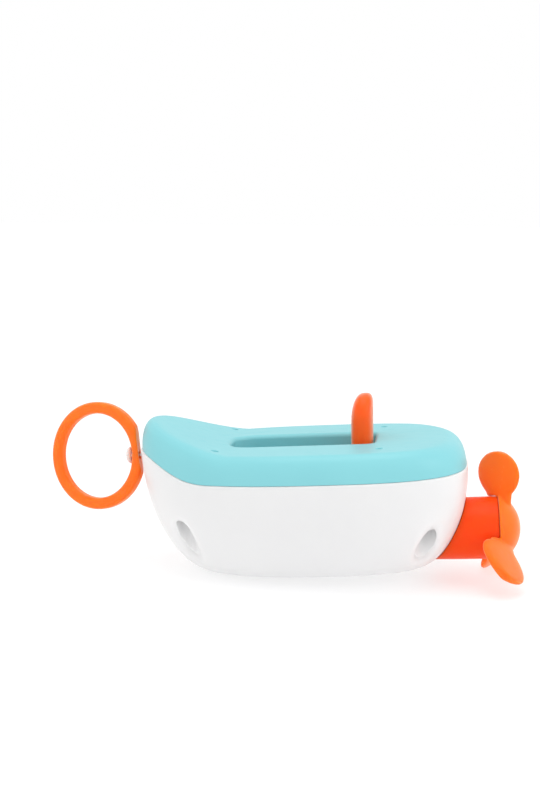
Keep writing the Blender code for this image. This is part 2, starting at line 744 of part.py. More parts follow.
def make_drum(nylon, cord_colour, steel, white):
    centre = (0.0, 0.0, DRUM_Z)
    add("drum_axle", rod("drum_axle", 39.0, 61.5, SHAFT_R, 16), steel, at=centre)
    wall = 1.0
    bore = SHAFT_R + 0.2
    profile = [(0.0, 6.6), (0.0, DRUM_FLANGE_R), (wall, DRUM_FLANGE_R), (wall, DRUM_CORE_R),
               (8.0, DRUM_CORE_R), (8.0, DRUM_FLANGE_R), (9.0, DRUM_FLANGE_R), (9.0, bore),
               (7.2, bore), (7.2, 6.6)]
    drum = add("cord_drum", turned("cord_drum", profile, 32), nylon, at=(DRUM_FORE_X, 0.0, DRUM_Z))
    join(drum, tool("ratchet", prism("ratchet", ratchet_outline(), 8.6, 10.8, "X"), drum))
    cut(drum, tool("ratchet_bore", rod("ratchet_bore", 5.0, 15.0, bore, 16), drum))
    winding = sleeve("cord_winding", DRUM_FORE_X + 1.3, DRUM_FORE_X + 7.7, DRUM_CORE_R + 0.3, WINDING_R, 28)
    add("cord_winding", winding, cord_colour, at=centre)
    spring = spiral_mesh("mainspring", 2.6, 6.1, 4.5, 0.32, DRUM_FORE_X + 0.5, DRUM_FORE_X + 6.6)
    add("mainspring", spring, steel, at=centre)
    gear = gear_mesh("drive_gear", GEAR_TEETH, SHAFT_R + 0.2, GEAR_WIDTH, -0.25)
    add("drive_gear", gear, white, at=(GEAR_X, 0.0, DRUM_Z))
    add("click_spring", click_spring_mesh(), steel, at=(GEAR_X - 1.9, 0.0, DRUM_Z))


def ratchet_outline():
    """Eight saw teeth round the drum's hub."""
    outline = []
    for tooth in range(8):
        start = 2.0 * math.pi * tooth / 8
        outline.append((7.0 * math.cos(start), 7.0 * math.sin(start)))
        for share in (0.02, 0.35, 0.7):
            angle = start + 2.0 * math.pi * share / 8
            radius = 5.6 + 1.4 * share
            outline.append((radius * math.cos(angle), radius * math.sin(angle)))
    return outline


def spiral_mesh(name, start_r, end_r, turns, thickness, x0, x1):
    steps = int(18 * turns)
    rings = []
    for step in range(steps + 1):
        share = step / steps
        angle = 2.0 * math.pi * turns * share
        radius = start_r + (end_r - start_r) * share
        ring = []
        for r, x in ((radius, x0), (radius + thickness, x0), (radius + thickness, x1), (radius, x1)):
            ring.append((x, r * math.cos(angle), r * math.sin(angle)))
        rings.append(ring)
    return ring_stack(name, rings)


def click_spring_mesh():
    """A leaf bent round the ratchet, whose free end drops into its teeth."""
    rings = []
    steps = 20
    for step in range(steps + 1):
        share = step / steps
        angle = math.radians(30.0 + 250.0 * share)
        radius = 8.2 - 0.8 * max(0.0, (share - 0.7) / 0.3) ** 1.5
        ring = []
        for r, x in ((radius, 0.0), (radius + 0.4, 0.0), (radius + 0.4, 1.4), (radius, 1.4)):
            ring.append((x, r * math.cos(angle), r * math.sin(angle)))
        rings.append(ring)
    return ring_stack("click_spring", rings)


# ---------------------------------------------------------------- cord run

def make_cord_run(cord_colour, nylon, steel, white):
    eyelet = [(-76.6, 1.2), (-77.0, 1.6), (-77.0, 2.3), (-72.2, 2.3), (-72.2, 1.6), (-72.6, 1.2)]
    add("bow_eyelet", turned("bow_eyelet", eyelet, 18), white, at=(0.0, 0.0, CORD_EXIT_Z))
    post = [(45.0, 3.4), (46.0, 3.4), (46.6, 2.0), (50.6, 2.0), (51.2, 3.4), (52.4, 3.4), (55.7, 3.0),
            (55.7, 1.6), (59.2, 1.6)]
    post = turned("cord_guide_post", post, 18, "Z", False)
    add("cord_guide_post", post, white, at=(GUIDE_X, GUIDE_Y, 0.0))
    groove = PULLEY_PATH_R - CORD_R - 0.3
    wheel = [(-1.9, 1.3), (-1.9, 5.4), (-1.3, 5.4), (-0.9, groove), (0.9, groove), (1.3, 5.4), (1.9, 5.4),
             (1.9, 1.3)]
    add("guide_pulley", turned("guide_pulley", wheel, 24, "Z"), nylon, at=(PULLEY_X, PULLEY_Y, CORD_Z))
    pin = [(42.4, 1.0), (CORD_Z + 2.3, 1.0), (CORD_Z + 2.3, 2.0), (CORD_Z + 3.0, 2.0)]
    pin = turned("guide_pulley_pin", pin, 14, "Z", False)
    add("guide_pulley_pin", pin, steel, at=(PULLEY_X, PULLEY_Y, 0.0))
    add_cord("pull_cord", cord_route(), cord_colour)
    tail = [(BOW_X - 0.1, 0.0, CORD_EXIT_Z), (RING_HINGE_X + 0.3, 0.0, CORD_EXIT_Z)]
    add_cord("cord_tail", tail, cord_colour)


def cord_route():
    """From the bow eyelet, round the guide post and the pulley, to the top of the drum."""
    bend_y = GUIDE_Y - 2.0 - CORD_R - 0.4
    knots = [(BOW_X + 0.3, 0.0, CORD_EXIT_Z), (-73.5, 0.0, CORD_EXIT_Z), (-70.0, -0.7, 54.7),
             (-62.0, -7.0, 53.0), (-54.0, -14.6, 50.8), (-46.0, -21.8, 49.0), (GUIDE_X, bend_y - 0.1, 48.7),
             (-39.0, -24.0, 48.3), (-20.0, CORD_SIDE_Y, 47.6), (10.0, CORD_SIDE_Y, CORD_Z + 0.1),
             (PULLEY_X - 6.0, CORD_SIDE_Y, CORD_Z)]
    route = smooth_line(knots, 4)
    for step in range(7):
        angle = math.radians(-90.0 + 90.0 * step / 6)
        x = PULLEY_X + PULLEY_PATH_R * math.cos(angle)
        y = PULLEY_Y + PULLEY_PATH_R * math.sin(angle)
        route.append((x, y, CORD_Z))
    drum_x = PULLEY_X + PULLEY_PATH_R
    route += [(drum_x, -14.0, CORD_Z), (drum_x, -10.0, CORD_Z), (drum_x, -6.2, CORD_Z)]
    return route


def smooth_line(knots, steps):
    """A Catmull-Rom curve through the knots."""
    padded = [knots[0]] + knots + [knots[-1]]
    line = []
    for index in range(1, len(padded) - 2):
        p0, p1, p2, p3 = (Vector(padded[index + shift]) for shift in (-1, 0, 1, 2))
        for step in range(steps):
            t = step / steps
            point = 0.5 * ((2.0 * p1) + (p2 - p0) * t + (2.0 * p0 - 5.0 * p1 + 4.0 * p2 - p3) * t ** 2
                           + (3.0 * p1 - p0 - 3.0 * p2 + p3) * t ** 3)
            line.append(tuple(point))
    line.append(tuple(knots[-1]))
    return line


def add_cord(name, route, material):
    curve = bpy.data.curves.new(name, "CURVE")
    curve.dimensions = "3D"
    curve.bevel_depth = CORD_R * MM
    curve.bevel_resolution = 2
    curve.use_fill_caps = True
    spline = curve.splines.new("POLY")
    spline.points.add(len(route) - 1)
    for point, (x, y, z) in zip(spline.points, route):
        point.co = (x * MM, y * MM, z * MM, 1.0)
    curve.materials.append(material)
    cord = bpy.data.objects.new(name, curve)
    cord.parent = FRAME
    bpy.context.scene.collection.objects.link(cord)


# ---------------------------------------------------------------- ring

def make_ring(orange, clear):
    """The ring hangs off the cord at the middle of a flat cut on it, close to the bow, and swings there."""
    rings = []
    for step in range(48):
        angle = 2.0 * math.pi * (step + 0.5) / 48
        ring = []
        for radius, through in rounded_box_outline(RING_R - RING_BAND, RING_R, 0.5 * RING_THICKNESS, 2.2, 3):
            ring.append((radius * math.cos(angle) - RING_REACH, through, radius * math.sin(angle)))
        rings.append(ring)
    place = (RING_HINGE_X, 0.0, CORD_EXIT_Z)
    turn = (RING_TWIST, -RING_DROOP, RING_TURN)
    pull_ring = add("pull_ring", ring_stack("pull_ring", rings, closed=True), orange, at=place, turn=turn)
    lean = 16.0 * math.tan(RING_FLAT_PITCH)
    flat = [(RING_HINGE_X - lean, CORD_EXIT_Z + 16.0), (RING_HINGE_X + lean, CORD_EXIT_Z - 16.0),
            (-60.0, CORD_EXIT_Z - 16.0), (-60.0, CORD_EXIT_Z + 16.0)]
    cut(pull_ring, tool("ring_flat", prism("ring_flat", flat, -8.0, 8.0, "Y")))
    cut(pull_ring, tool("ring_hole", rod("ring_hole", -20.0, 5.0, 1.5, 14), pull_ring))
    seat = RING_R - RING_BAND - RING_REACH - 0.8
    head = [(-0.9, 1.1), (seat, 1.1), (seat, 3.4), (seat - 0.9, 4.1), (seat - 1.8, 3.3), (seat - 2.3, 1.2)]
    add("cord_stopper", turned("cord_stopper", head, 20, "X", False), clear, at=place, turn=turn)


# ---------------------------------------------------------------- lever

def corner_fall(share, power):
    """What is left of a rounded corner's depth at a share of its height: 1 at the start, 0 at the end."""
    return max(0.0, 1.0 - max(0.0, share) ** power) ** (1.0 / power)


def lever_rings(heights, around):
    """Level sections of the lever's tab: it rounds off to all sides at the top, and a little at its foot."""
    rings = []
    for z in heights:
        below = LEVER_TOP_Z - z
        middle = 0.2 - LEVER_LEAN * below
        foot = 1.5 * (1.0 - corner_fall(1.0 - (z - LEVER_FOOT_Z) / 1.5, 2.0))
        fore = middle - 6.5 * corner_fall(1.0 - below / 14.1, 2.4) + foot
        aft = middle + 3.7 * corner_fall(1.0 - below / 6.1, 3.0) - foot
        half_width = LEVER_HALF_WIDTH * corner_fall(1.0 - below / 12.0, 2.4) - foot
        ring = []
        for step in range(around):
            angle = 2.0 * math.pi * (step + 0.5) / around
            x = 0.5 * (fore + aft) + 0.5 * (aft - fore) * signed_power(math.cos(angle), 0.72)
            ring.append((x, half_width * signed_power(math.sin(angle), 0.72), z))
        rings.append(ring)
    return rings


def make_lever(orange, rubber, steel):
    """A thumb lever that rocks on a cross pin under the cockpit floor."""
    place = (LEVER_X, 0.0, LEVER_Z)
    heights = [LEVER_FOOT_Z + rise for rise in (0.0, 0.45, 1.5, 15.5, 30.4)]
    for step in range(1, 9):
        heights.append(LEVER_TOP_Z - max(0.04, 14.1 * (1.0 - math.sin(math.radians(11.25 * step)))))
    lever = add("release_lever", ring_stack("release_lever", lever_rings(heights, 28)), orange, at=place)
    shank = [(-3.0, 17.0), (1.0, 17.0), (2.4, 3.0), (4.0, 0.2), (12.4, -0.6), (12.4, -2.2),
             (5.0, -2.2), (0.0, -3.2), (-2.4, -2.2), (-3.2, 0.0)]
    join(lever, tool("lever_shank", prism("lever_shank", shank, -4.8, 4.8, "Y"), lever))
    cut(lever, tool("lever_bore", rod("lever_bore", -8.0, 8.0, 1.6, 14, "Y"), lever))
    pad = block("brake_pad", (10.3, -4.0, -0.1), (12.3, 4.0, 0.7))
    add("brake_pad", pad, rubber, at=place)
    add("lever_pin", rod("lever_pin", -9.2, 9.2, 1.2, 14, "Y"), steel, at=place)


# ---------------------------------------------------------------- the boat

def main():
    white = finish("white_plastic", (0.86, 0.86, 0.87), 0.38)
    teal = finish("teal_plastic", (0.33, 0.75, 0.79), 0.42)
    orange = finish("orange_plastic", (0.98, 0.16, 0.03), 0.36)
    soft_orange = finish("soft_orange_plastic", (1.0, 0.27, 0.05), 0.4)
    clear = finish("clear_stopper", (0.95, 0.82, 0.82), 0.3)
    nylon = finish("nylon", (0.82, 0.80, 0.74), 0.45)
    grey = finish("grey_plastic", (0.30, 0.31, 0.33), 0.5)
    steel = finish("steel", (0.62, 0.62, 0.63), 0.3, 1.0)
    bronze = finish("bronze", (0.62, 0.44, 0.2), 0.35, 1.0)
    rubber = finish("rubber", (0.05, 0.05, 0.05), 0.8)
    cord_colour = finish("cord", (0.9, 0.9, 0.88), 0.8)
    make_hull(white)
    make_deck(teal)
    make_deck_seal(rubber)
    make_hull_screws(steel)
    make_pod(orange)
    make_pod_screws(steel)
    make_shaft_line(steel, bronze, rubber, nylon)
    make_propeller(soft_orange)
    make_motor_plates(grey)
    make_motor_screws(steel)
    make_drum(nylon, cord_colour, steel, white)
    make_cord_run(cord_colour, nylon, steel, white)
    make_ring(soft_orange, clear)
    make_lever(orange, rubber, steel)


clear_scene()
FRAME = make_frame()
main()
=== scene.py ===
"""The looks of the pull-cord bath boat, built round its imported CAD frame.

Each piece that shows is modelled again here on the same driving dimensions, with
finer sections, rounded edges and moulded fillets, and rides on its CAD body.  The
pieces inside the boat stay as the CAD has them and get better materials.

Sizes are millimetres in hull coordinates, as in the CAD: x runs aft from the middle
of the hull, y to port and z up from the flat of the keel.
"""
import json
import math

import bmesh
import bpy
from mathutils import Matrix, Vector


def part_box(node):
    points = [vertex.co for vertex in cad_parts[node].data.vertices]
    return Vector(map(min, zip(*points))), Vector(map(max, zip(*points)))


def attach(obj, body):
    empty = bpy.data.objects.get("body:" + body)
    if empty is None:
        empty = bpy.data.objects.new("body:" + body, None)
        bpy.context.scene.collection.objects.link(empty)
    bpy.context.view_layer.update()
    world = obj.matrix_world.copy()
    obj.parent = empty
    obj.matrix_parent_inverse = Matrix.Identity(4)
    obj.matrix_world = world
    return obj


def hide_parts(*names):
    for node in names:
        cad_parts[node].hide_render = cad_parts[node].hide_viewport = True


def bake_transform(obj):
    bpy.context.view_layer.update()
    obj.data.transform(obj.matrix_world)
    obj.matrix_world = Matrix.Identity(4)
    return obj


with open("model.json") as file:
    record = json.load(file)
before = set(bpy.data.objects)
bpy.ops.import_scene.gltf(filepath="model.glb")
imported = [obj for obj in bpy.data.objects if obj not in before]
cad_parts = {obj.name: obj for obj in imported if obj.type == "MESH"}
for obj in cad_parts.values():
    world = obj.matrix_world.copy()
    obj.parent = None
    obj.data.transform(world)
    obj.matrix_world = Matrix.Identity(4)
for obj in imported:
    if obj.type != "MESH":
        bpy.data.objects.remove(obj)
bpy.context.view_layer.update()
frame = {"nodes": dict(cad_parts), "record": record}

MM = 0.001

# Hull and deck
BOW_X = -77.4
STERN_X = 78.0
WIDEST_X = 10.0
HALF_BEAM = 48.0
SEAM_Z = 47.8
SEAM_RISE = 12.0
SEAM_RISE_X = -38.0
SEAM_RISE_LENGTH = 41.0
DECK_Z = 60.5
DECK_RISE = 14.5
DECK_RISE_X = -30.0
DECK_RISE_LENGTH = 42.0
DECK_WALL = 2.4
CROWN_INSET = 8.0
STERN_CROWN = 0.6
KEEL_BOW_X = -50.0
KEEL_STERN_X = 56.0
KEEL_MID_X = 4.0
KEEL_HALF_WIDTH = 25.0
WALL = 2.2
GAP = 0.3
RIM_EDGE = 0.7
RIM_INSET = 0.6
SEAM_LINE = 0.03
DOT_XS = (-36.5, 38.2)
DOT_Y = 30.0
AROUND = 240

# Cockpit
COCKPIT_FORE_X = -33.4
COCKPIT_AFT_X = 34.9
COCKPIT_HALF_WIDTH = 15.4
COCKPIT_FLOOR_Z = 32.5
COCKPIT_CORNER = 11.0
COCKPIT_AFT_CORNER = 4.0
COCKPIT_LIP = 2.0
COCKPIT_FOOT = 3.0
TUB_WALL = 2.0

# Propeller end
SHAFT_Z = 15.6
SHAFT_R = 1.5
POD_R = 14.7
POD_NECK_R = 11.5
POD_NECK_X = 60.9
POD_END_X = 91.0
POD_BORE_R = 8.2
HUB_X = 91.4
HUB_R = 15.7
HUB_NOSE_X = 101.5
BLADE_X = 92.1
BLADE_MID_R = 25.5
BLADE_DISC = 10.5
BLADE_HALF_CHORD = 13.2
BLADE_NECK = 7.2
BLADE_THICKNESS = 5.4
BLADE_PITCH = math.radians(48.5)
BLADE_TURN = math.radians(-5.7)
BLADES = 3

# Cord, ring and lever
CORD_R = 0.8
CORD_EXIT_Z = 55.4
CORD_BEND_X = -73.5
EYELET_R = 2.3
DRUM_Z = 38.1
DRUM_MID_X = 46.5
DRUM_CORE_R = 8.0
CORD_Z = DRUM_Z + DRUM_CORE_R + CORD_R
CORD_SIDE_Y = -24.0
PULLEY_PATH_R = 5.3
PULLEY_X = DRUM_MID_X - PULLEY_PATH_R
PULLEY_Y = CORD_SIDE_Y + PULLEY_PATH_R
GUIDE_X = -43.0
GUIDE_Y = -20.3
GUIDE_R = 2.0
RING_HINGE_X = -79.2
CORD_END_X = RING_HINGE_X + 0.3
RING_R = 26.5
RING_BAND = 5.7
RING_THICKNESS = 6.3
RING_ROUNDING = 2.2
RING_REACH = 24.3
RING_TURN = math.radians(-19.0)
RING_TWIST = math.radians(-7.8)
RING_DROOP = math.radians(2.7)
RING_FLAT_PITCH = math.radians(6.0)
LEVER_X = 31.0
LEVER_Z = 22.0
LEVER_FOOT_Z = 15.5
LEVER_TOP_Z = 59.7
LEVER_HALF_WIDTH = 11.0
LEVER_FORE_DEPTH = 6.5
LEVER_AFT_DEPTH = 3.7
LEVER_SIDE_CORNER = 12.0
LEVER_FORE_CORNER = 14.1
LEVER_AFT_CORNER = 6.1
LEVER_FOOT_R = 1.5
LEVER_LEAN = 0.035

# Hull screws
HULL_SCREWS = [(-52.6, -27.2), (-52.6, 27.2), (57.5, -29.8), (57.5, 29.8)]
WELL_R = 4.9
WELL_TOP_Z = 30.0
WELL_DOME = 5.0
WELL_FLARE = 3.4
WELL_SINK = 1.6
POST_TOP_Z = 34.0

# Hull coordinates in the frame: the drum's axle starts in the gearbox's front plate, and the keel's
# flat is the hull's lowest face.
FRONT_PLATE_X = 39.0
ORIGIN_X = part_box("drum_axle")[0].x / MM - FRONT_PLATE_X
KEEL_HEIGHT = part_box("hull_shell")[0].z / MM
TO_FRAME = Matrix.Scale(MM, 4) @ Matrix.Translation((ORIGIN_X, 0.0, KEEL_HEIGHT))


# ---------------- mesh helpers

def mesh_from(name, points, faces, place=Matrix.Identity(4)):
    """A mesh of points in hull millimetres, written in frame metres with its faces turned out."""
    matrix = TO_FRAME @ place
    mesh = bpy.data.meshes.new(name)
    mesh.from_pydata([matrix @ Vector(point) for point in points], [], faces)
    work = bmesh.new()
    work.from_mesh(mesh)
    bmesh.ops.recalc_face_normals(work, faces=work.faces)
    work.to_mesh(mesh)
    work.free()
    return mesh


def ring_stack(name, rings, closed=False, place=Matrix.Identity(4)):
    """A closed skin over rings of equal length, capped at both ends or joined last to first."""
    count = len(rings[0])
    points = [point for ring in rings for point in ring]
    faces = []
    spans = len(rings) if closed else len(rings) - 1
    for level in range(spans):
        low = level * count
        high = ((level + 1) % len(rings)) * count
        for index in range(count):
            after = (index + 1) % count
            faces.append((low + index, low + after, high + after, high + index))
    if not closed:
        faces.append(tuple(range(count)))
        faces.append(tuple(range(len(points) - count, len(points))))
    return mesh_from(name, points, faces, place)


def turned(name, profile, segments=48, axis="X", closed=True, centre=(0.0, 0.0, 0.0),
           place=Matrix.Identity(4)):
    """A turned piece.  The profile holds (place along the axis, radius) pairs."""
    rings = []
    for along, radius in profile:
        ring = []
        for step in range(segments):
            angle = 2.0 * math.pi * step / segments
            a = radius * math.cos(angle)
            b = radius * math.sin(angle)
            spot = {"X": (along, a, b), "Y": (a, along, b), "Z": (a, b, along)}[axis]
            ring.append(tuple(p + c for p, c in zip(spot, centre)))
        rings.append(ring)
    return ring_stack(name, rings, closed, place)


def rod(name, start, end, radius, segments=32, axis="X", centre=(0.0, 0.0, 0.0),
        place=Matrix.Identity(4)):
    """A plain cylinder."""
    return turned(name, [(start, radius), (end, radius)], segments, axis, False, centre, place)


def prism(name, outline, start, end, axis="Z", place=Matrix.Identity(4)):
    """An outline of two-number points, extruded along an axis."""
    rings = []
    for along in (start, end):
        if axis == "Z":
            rings.append([(a, b, along) for a, b in outline])
        else:
            rings.append([(a, along, b) for a, b in outline])
    return ring_stack(name, rings, False, place)


def block(name, low, high):
    """A plain box between two corners."""
    outline = [(low[0], low[1]), (high[0], low[1]), (high[0], high[1]), (low[0], high[1])]
    return prism(name, outline, low[2], high[2])


def joined(name, meshes):
    """Several separate bodies in one mesh."""
    work = bmesh.new()
    for mesh in meshes:
        work.from_mesh(mesh)
    whole = bpy.data.meshes.new(name)
    work.to_mesh(whole)
    work.free()
    return whole


def put(name, mesh):
    """A mesh as a piece of the scene."""
    piece = bpy.data.objects.new(name, mesh)
    bpy.context.scene.collection.objects.link(piece)
    return piece


def combine(piece, mesh, operation):
    """Joins a mesh to a piece, cuts it out of the piece or keeps what both share."""
    tool = put("tool", mesh)
    modifier = piece.modifiers.new("shape", "BOOLEAN")
    modifier.operation = operation
    modifier.solver = "EXACT"
    modifier.object = tool
    settle(piece)
    bpy.data.objects.remove(tool)


def settle(piece):
    """Turns a piece's modifiers into its mesh."""
    graph = bpy.context.evaluated_depsgraph_get()
    mesh = bpy.data.meshes.new_from_object(piece.evaluated_get(graph))
    piece.modifiers.clear()
    piece.data = mesh


def dress(piece, body, material, nodes, sharp=40.0, weighted=True):
    """Shades a finished piece, gives it its material and puts it on its body for its CAD nodes."""
    mesh = piece.data
    mesh.materials.clear()
    mesh.materials.append(material)
    mesh.shade_smooth()
    mesh.set_sharp_from_angle(angle=math.radians(sharp))
    if weighted:
        normals = piece.modifiers.new("even_shading", "WEIGHTED_NORMAL")
        normals.keep_sharp = True
        normals.weight = 60
    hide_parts(*nodes)
    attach(piece, body)


# ---------------- hull form

def signed_power(value, power):
    """A power of the size, with the sign kept."""
    return math.copysign(abs(value) ** power, value)


def egg(angle, fore_x, aft_x, mid_x, half_width, aft_power, fore_powers):
    """A point of a plan outline: blunter aft than forward."""
    c = math.cos(angle)
    s = math.sin(angle)
    if c >= 0.0:
        reach = aft_x - mid_x
        powers = (aft_power, aft_power)
    else:
        reach = mid_x - fore_x
        powers = fore_powers
    x = mid_x + reach * signed_power(c, 2.0 / powers[0])
    return (x, half_width * signed_power(s, 2.0 / powers[1]))


def evenly_spaced(outline, count):
    """The same closed outline with its points at equal steps of length."""
    loop = outline + outline[:1]
    lengths = [0.0]
    for first, second in zip(loop, loop[1:]):
        lengths.append(lengths[-1] + math.dist(first, second))
    spaced = []
    index = 0
    for step in range(count):
        target = lengths[-1] * step / count
        while lengths[index + 1] < target:
            index += 1
        share = (target - lengths[index]) / (lengths[index + 1] - lengths[index])
        spaced.append(tuple(a + (b - a) * share for a, b in zip(loop[index], loop[index + 1])))
    return spaced


def offset(outline, distance):
    """The outline moved inwards along its normals."""
    moved = []
    for index, (x, y) in enumerate(outline):
        before = outline[index - 1]
        after = outline[(index + 1) % len(outline)]
        dx = after[0] - before[0]
        dy = after[1] - before[1]
        length = math.hypot(dx, dy)
        moved.append((x - distance * dy / length, y + distance * dx / length))
    return moved


def egg_outline(fore_x, aft_x, mid_x, half_width, aft_power, fore_powers):
    """The whole outline, traced finely and then spaced evenly."""
    fine = 4320
    points = []
    for step in range(fine):
        angle = 2.0 * math.pi * step / fine
        points.append(egg(angle, fore_x, aft_x, mid_x, half_width, aft_power, fore_powers))
    return evenly_spaced(points, AROUND)


PLAN = egg_outline(BOW_X, STERN_X, WIDEST_X, HALF_BEAM, 3.0, (2.5, 2.0))
KEEL = egg_outline(KEEL_BOW_X, KEEL_STERN_X, KEEL_MID_X, KEEL_HALF_WIDTH, 2.6, (2.2, 2.0))


def ease(share):
    """A smooth step from 0 to 1."""
    share = min(max(share, 0.0), 1.0)
    return share * share * (3.0 - 2.0 * share)


def seam_height(x):
    """The seam between hull and deck, which sweeps up at the bow."""
    return SEAM_Z + SEAM_RISE * ease((SEAM_RISE_X - x) / SEAM_RISE_LENGTH) ** 1.5


def deck_height(x):
    """The deck's top, which sweeps up at the bow."""
    return DECK_Z + DECK_RISE * max(0.0, (DECK_RISE_X - x) / DECK_RISE_LENGTH) ** 1.4


def bilge(depth):
    """How far the hull has drawn in, from 0 at the seam to 1 at the keel."""
    return 1.0 - max(0.0, 1.0 - depth * depth) ** 0.625


def hull_rings(inset, floor_z, depths):
    """Rings down the hull, drawn in from its outer face by the inset."""
    top = offset(PLAN, inset)
    bottom = offset(KEEL, inset)
    rings = []
    for depth in depths:
        share = bilge(depth)
        ring = []
        for (px, _), (x, y), (kx, ky) in zip(PLAN, top, bottom):
            height = seam_height(px)
            z = height + (floor_z - height) * depth
            ring.append((x + (kx - x) * share, y + (ky - y) * share, z))
        rings.append(ring)
    return rings


def depth_steps(count):
    """Depths from the seam to the keel, closing up towards the keel."""
    return [math.sin(0.5 * math.pi * step / count) for step in range(count + 1)]


def hull_solid(name, inset, floor_z):
    """The hull's form as a solid block, inset all round."""
    return ring_stack(name, hull_rings(inset, floor_z, depth_steps(26)))


def rim_ring(inset, drop):
    """A ring round the hull's rim, in from its outer face and down from the seam."""
    return [(x, y, seam_height(px) - drop) for (x, y), (px, _) in zip(offset(PLAN, inset), PLAN)]


def hull_skin():
    """Outside from the keel up, over a rim with softened edges, and down the inside."""
    outside = hull_rings(0.0, 0.0, depth_steps(44))[1:]
    rings = outside[::-1]
    for step in range(1, 5):
        angle = math.radians(90.0 * step / 4)
        inset = RIM_EDGE * (1.0 - math.cos(angle))
        rings.append(rim_ring(inset, RIM_EDGE * (1.0 - math.sin(angle))))
    rings.append(rim_ring(WALL - RIM_EDGE, 0.0))
    rings.append(rim_ring(WALL, RIM_EDGE))
    rings += hull_rings(WALL, WALL, depth_steps(20))[1:]
    return ring_stack("hull_moulding", rings)


def soften_wells(mesh):
    """Rolls the hull's outer face gently into each screw well."""
    work = bmesh.new()
    work.from_mesh(mesh)
    axes = [TO_FRAME @ Vector((x, y, 0.0)) for x, y in HULL_SCREWS]
    reach = (WELL_R + WELL_FLARE) * MM
    near = []
    for edge in work.edges:
        middle = 0.5 * (edge.verts[0].co + edge.verts[1].co)
        if any(math.hypot(middle.x - a.x, middle.y - a.y) < reach + 2.0 * MM for a in axes):
            near.append(edge)
    bmesh.ops.subdivide_edges(work, edges=near, cuts=2, use_grid_fill=True)
    work.normal_update()
    moves = []
    for vertex in work.verts:
        for axis in axes:
            above = max(0.0, vertex.co.z - (KEEL_HEIGHT + WELL_TOP_Z - WELL_DOME) * MM)
            distance = math.hypot(vertex.co.x - axis.x, vertex.co.y - axis.y, above)
            outward = vertex.normal.x * vertex.co.x + vertex.normal.y * vertex.co.y
            if distance < reach and outward > 0.5 * vertex.normal.z * MM:
                roll = min(1.0, (reach - distance) / (WELL_FLARE * MM))
                moves.append((vertex, vertex.normal * (-WELL_SINK * MM * roll * roll)))
    for vertex, move in moves:
        vertex.co += move
    work.to_mesh(mesh)
    work.free()


def make_hull(white):
    """The hull, with its screw posts and wells and the holes for the pod's neck and the eyelet."""
    mesh = hull_skin()
    soften_wells(mesh)
    hull = put("hull_moulding", mesh)
    posts = [rod("post", 1.0, POST_TOP_Z, WELL_R + 1.8, 40, "Z", (x, y, 0.0)) for x, y in HULL_SCREWS]
    posts = put("posts", joined("posts", posts))
    combine(posts, hull_solid("trim", 1.6, 1.6), "INTERSECT")
    combine(hull, posts.data, "UNION")
    bpy.data.objects.remove(posts)
    wells = []
    for x, y in HULL_SCREWS:
        profile = [(-5.0, WELL_R)]
        for step in range(9):
            share = 0.96 * step / 8
            height = WELL_TOP_Z - WELL_DOME * (1.0 - share)
            profile.append((height, WELL_R * (1.0 - share ** 4) ** 0.25))
        profile += [(WELL_TOP_Z, 2.9), (WELL_TOP_Z, 1.7), (POST_TOP_Z + 2.0, 1.7)]
        wells.append(turned("well", profile, 48, "Z", False, (x, y, 0.0)))
    combine(hull, joined("wells", wells), "DIFFERENCE")
    pod_hole = rod("pod_hole", 55.0, 90.0, POD_NECK_R + GAP, 64, "X", (0.0, 0.0, SHAFT_Z))
    combine(hull, pod_hole, "DIFFERENCE")
    eyelet_hole = rod("eyelet_hole", -90.0, -68.0, EYELET_R + GAP, 40, "X", (0.0, 0.0, CORD_EXIT_Z))
    combine(hull, eyelet_hole, "DIFFERENCE")
    dress(hull, "hull", white, ["hull_shell"], 55.0)


# ---------------- deck

def round_over(height_share):
    """How far the deck's side has drawn in at a share of its height."""
    return 0.1 * height_share + 0.9 * (1.0 - (1.0 - height_share ** 2.6) ** (1.0 / 2.6))


def deck_rings(rim_inset, crown_inset, lower_top, height_shares):
    """Rings up the deck's side, from the rim to the crown, which lies further in round the stern."""
    rim = offset(PLAN, rim_inset)
    crown = offset(PLAN, crown_inset)
    rings = []
    for share in height_shares:
        ring = []
        for (px, _), (x, y), (cx, cy) in zip(PLAN, rim, crown):
            drawn = round_over(share)
            further = 1.0 + STERN_CROWN * ease((px - 52.0) / 24.0)
            cx = x + (cx - x) * further
            cy = y + (cy - y) * further
            low = seam_height(px) + SEAM_LINE
            high = deck_height(cx) - lower_top
            ring.append((x + (cx - x) * drawn, y + (cy - y) * drawn, low + (high - low) * share))
        rings.append(ring)
    return rings


def rings_between(outer, inner, lower_top, shares):
    """Rings across the deck's top, at shares of the way from one ring to a smaller one."""
    rings = []
    for share in shares:
        ring = []
        for (x, y, _), (ix, iy) in zip(outer, inner):
            px = x + (ix - x) * share
            ring.append((px, y + (iy - y) * share, deck_height(px) - lower_top))
        rings.append(ring)
    return rings


def cockpit_outline(grow):
    """The cockpit's rounded rectangle, made larger all round by grow."""
    x0 = COCKPIT_FORE_X - grow
    x1 = COCKPIT_AFT_X + grow
    half_width = COCKPIT_HALF_WIDTH + grow
    fore_radius = COCKPIT_CORNER + grow
    aft_radius = COCKPIT_AFT_CORNER + grow
    outline = [(x1, 0.0)]
    corners = [(x1, half_width, 0, aft_radius), (x0, half_width, 90, fore_radius),
               (x0, -half_width, 180, fore_radius), (x1, -half_width, 270, aft_radius)]
    for x, y, begin, radius in corners:
        cx = x - math.copysign(radius, x - 0.5 * (x0 + x1))
        cy = y - math.copysign(radius, y)
        for step in range(33):
            angle = math.radians(begin + 90.0 * step / 32)
            outline.append((cx + radius * math.cos(angle), cy + radius * math.sin(angle)))
    return evenly_spaced(outline, AROUND)


def level_ring(outline, z):
    """An outline laid flat at a height."""
    return [(x, y, z) for x, y in outline]


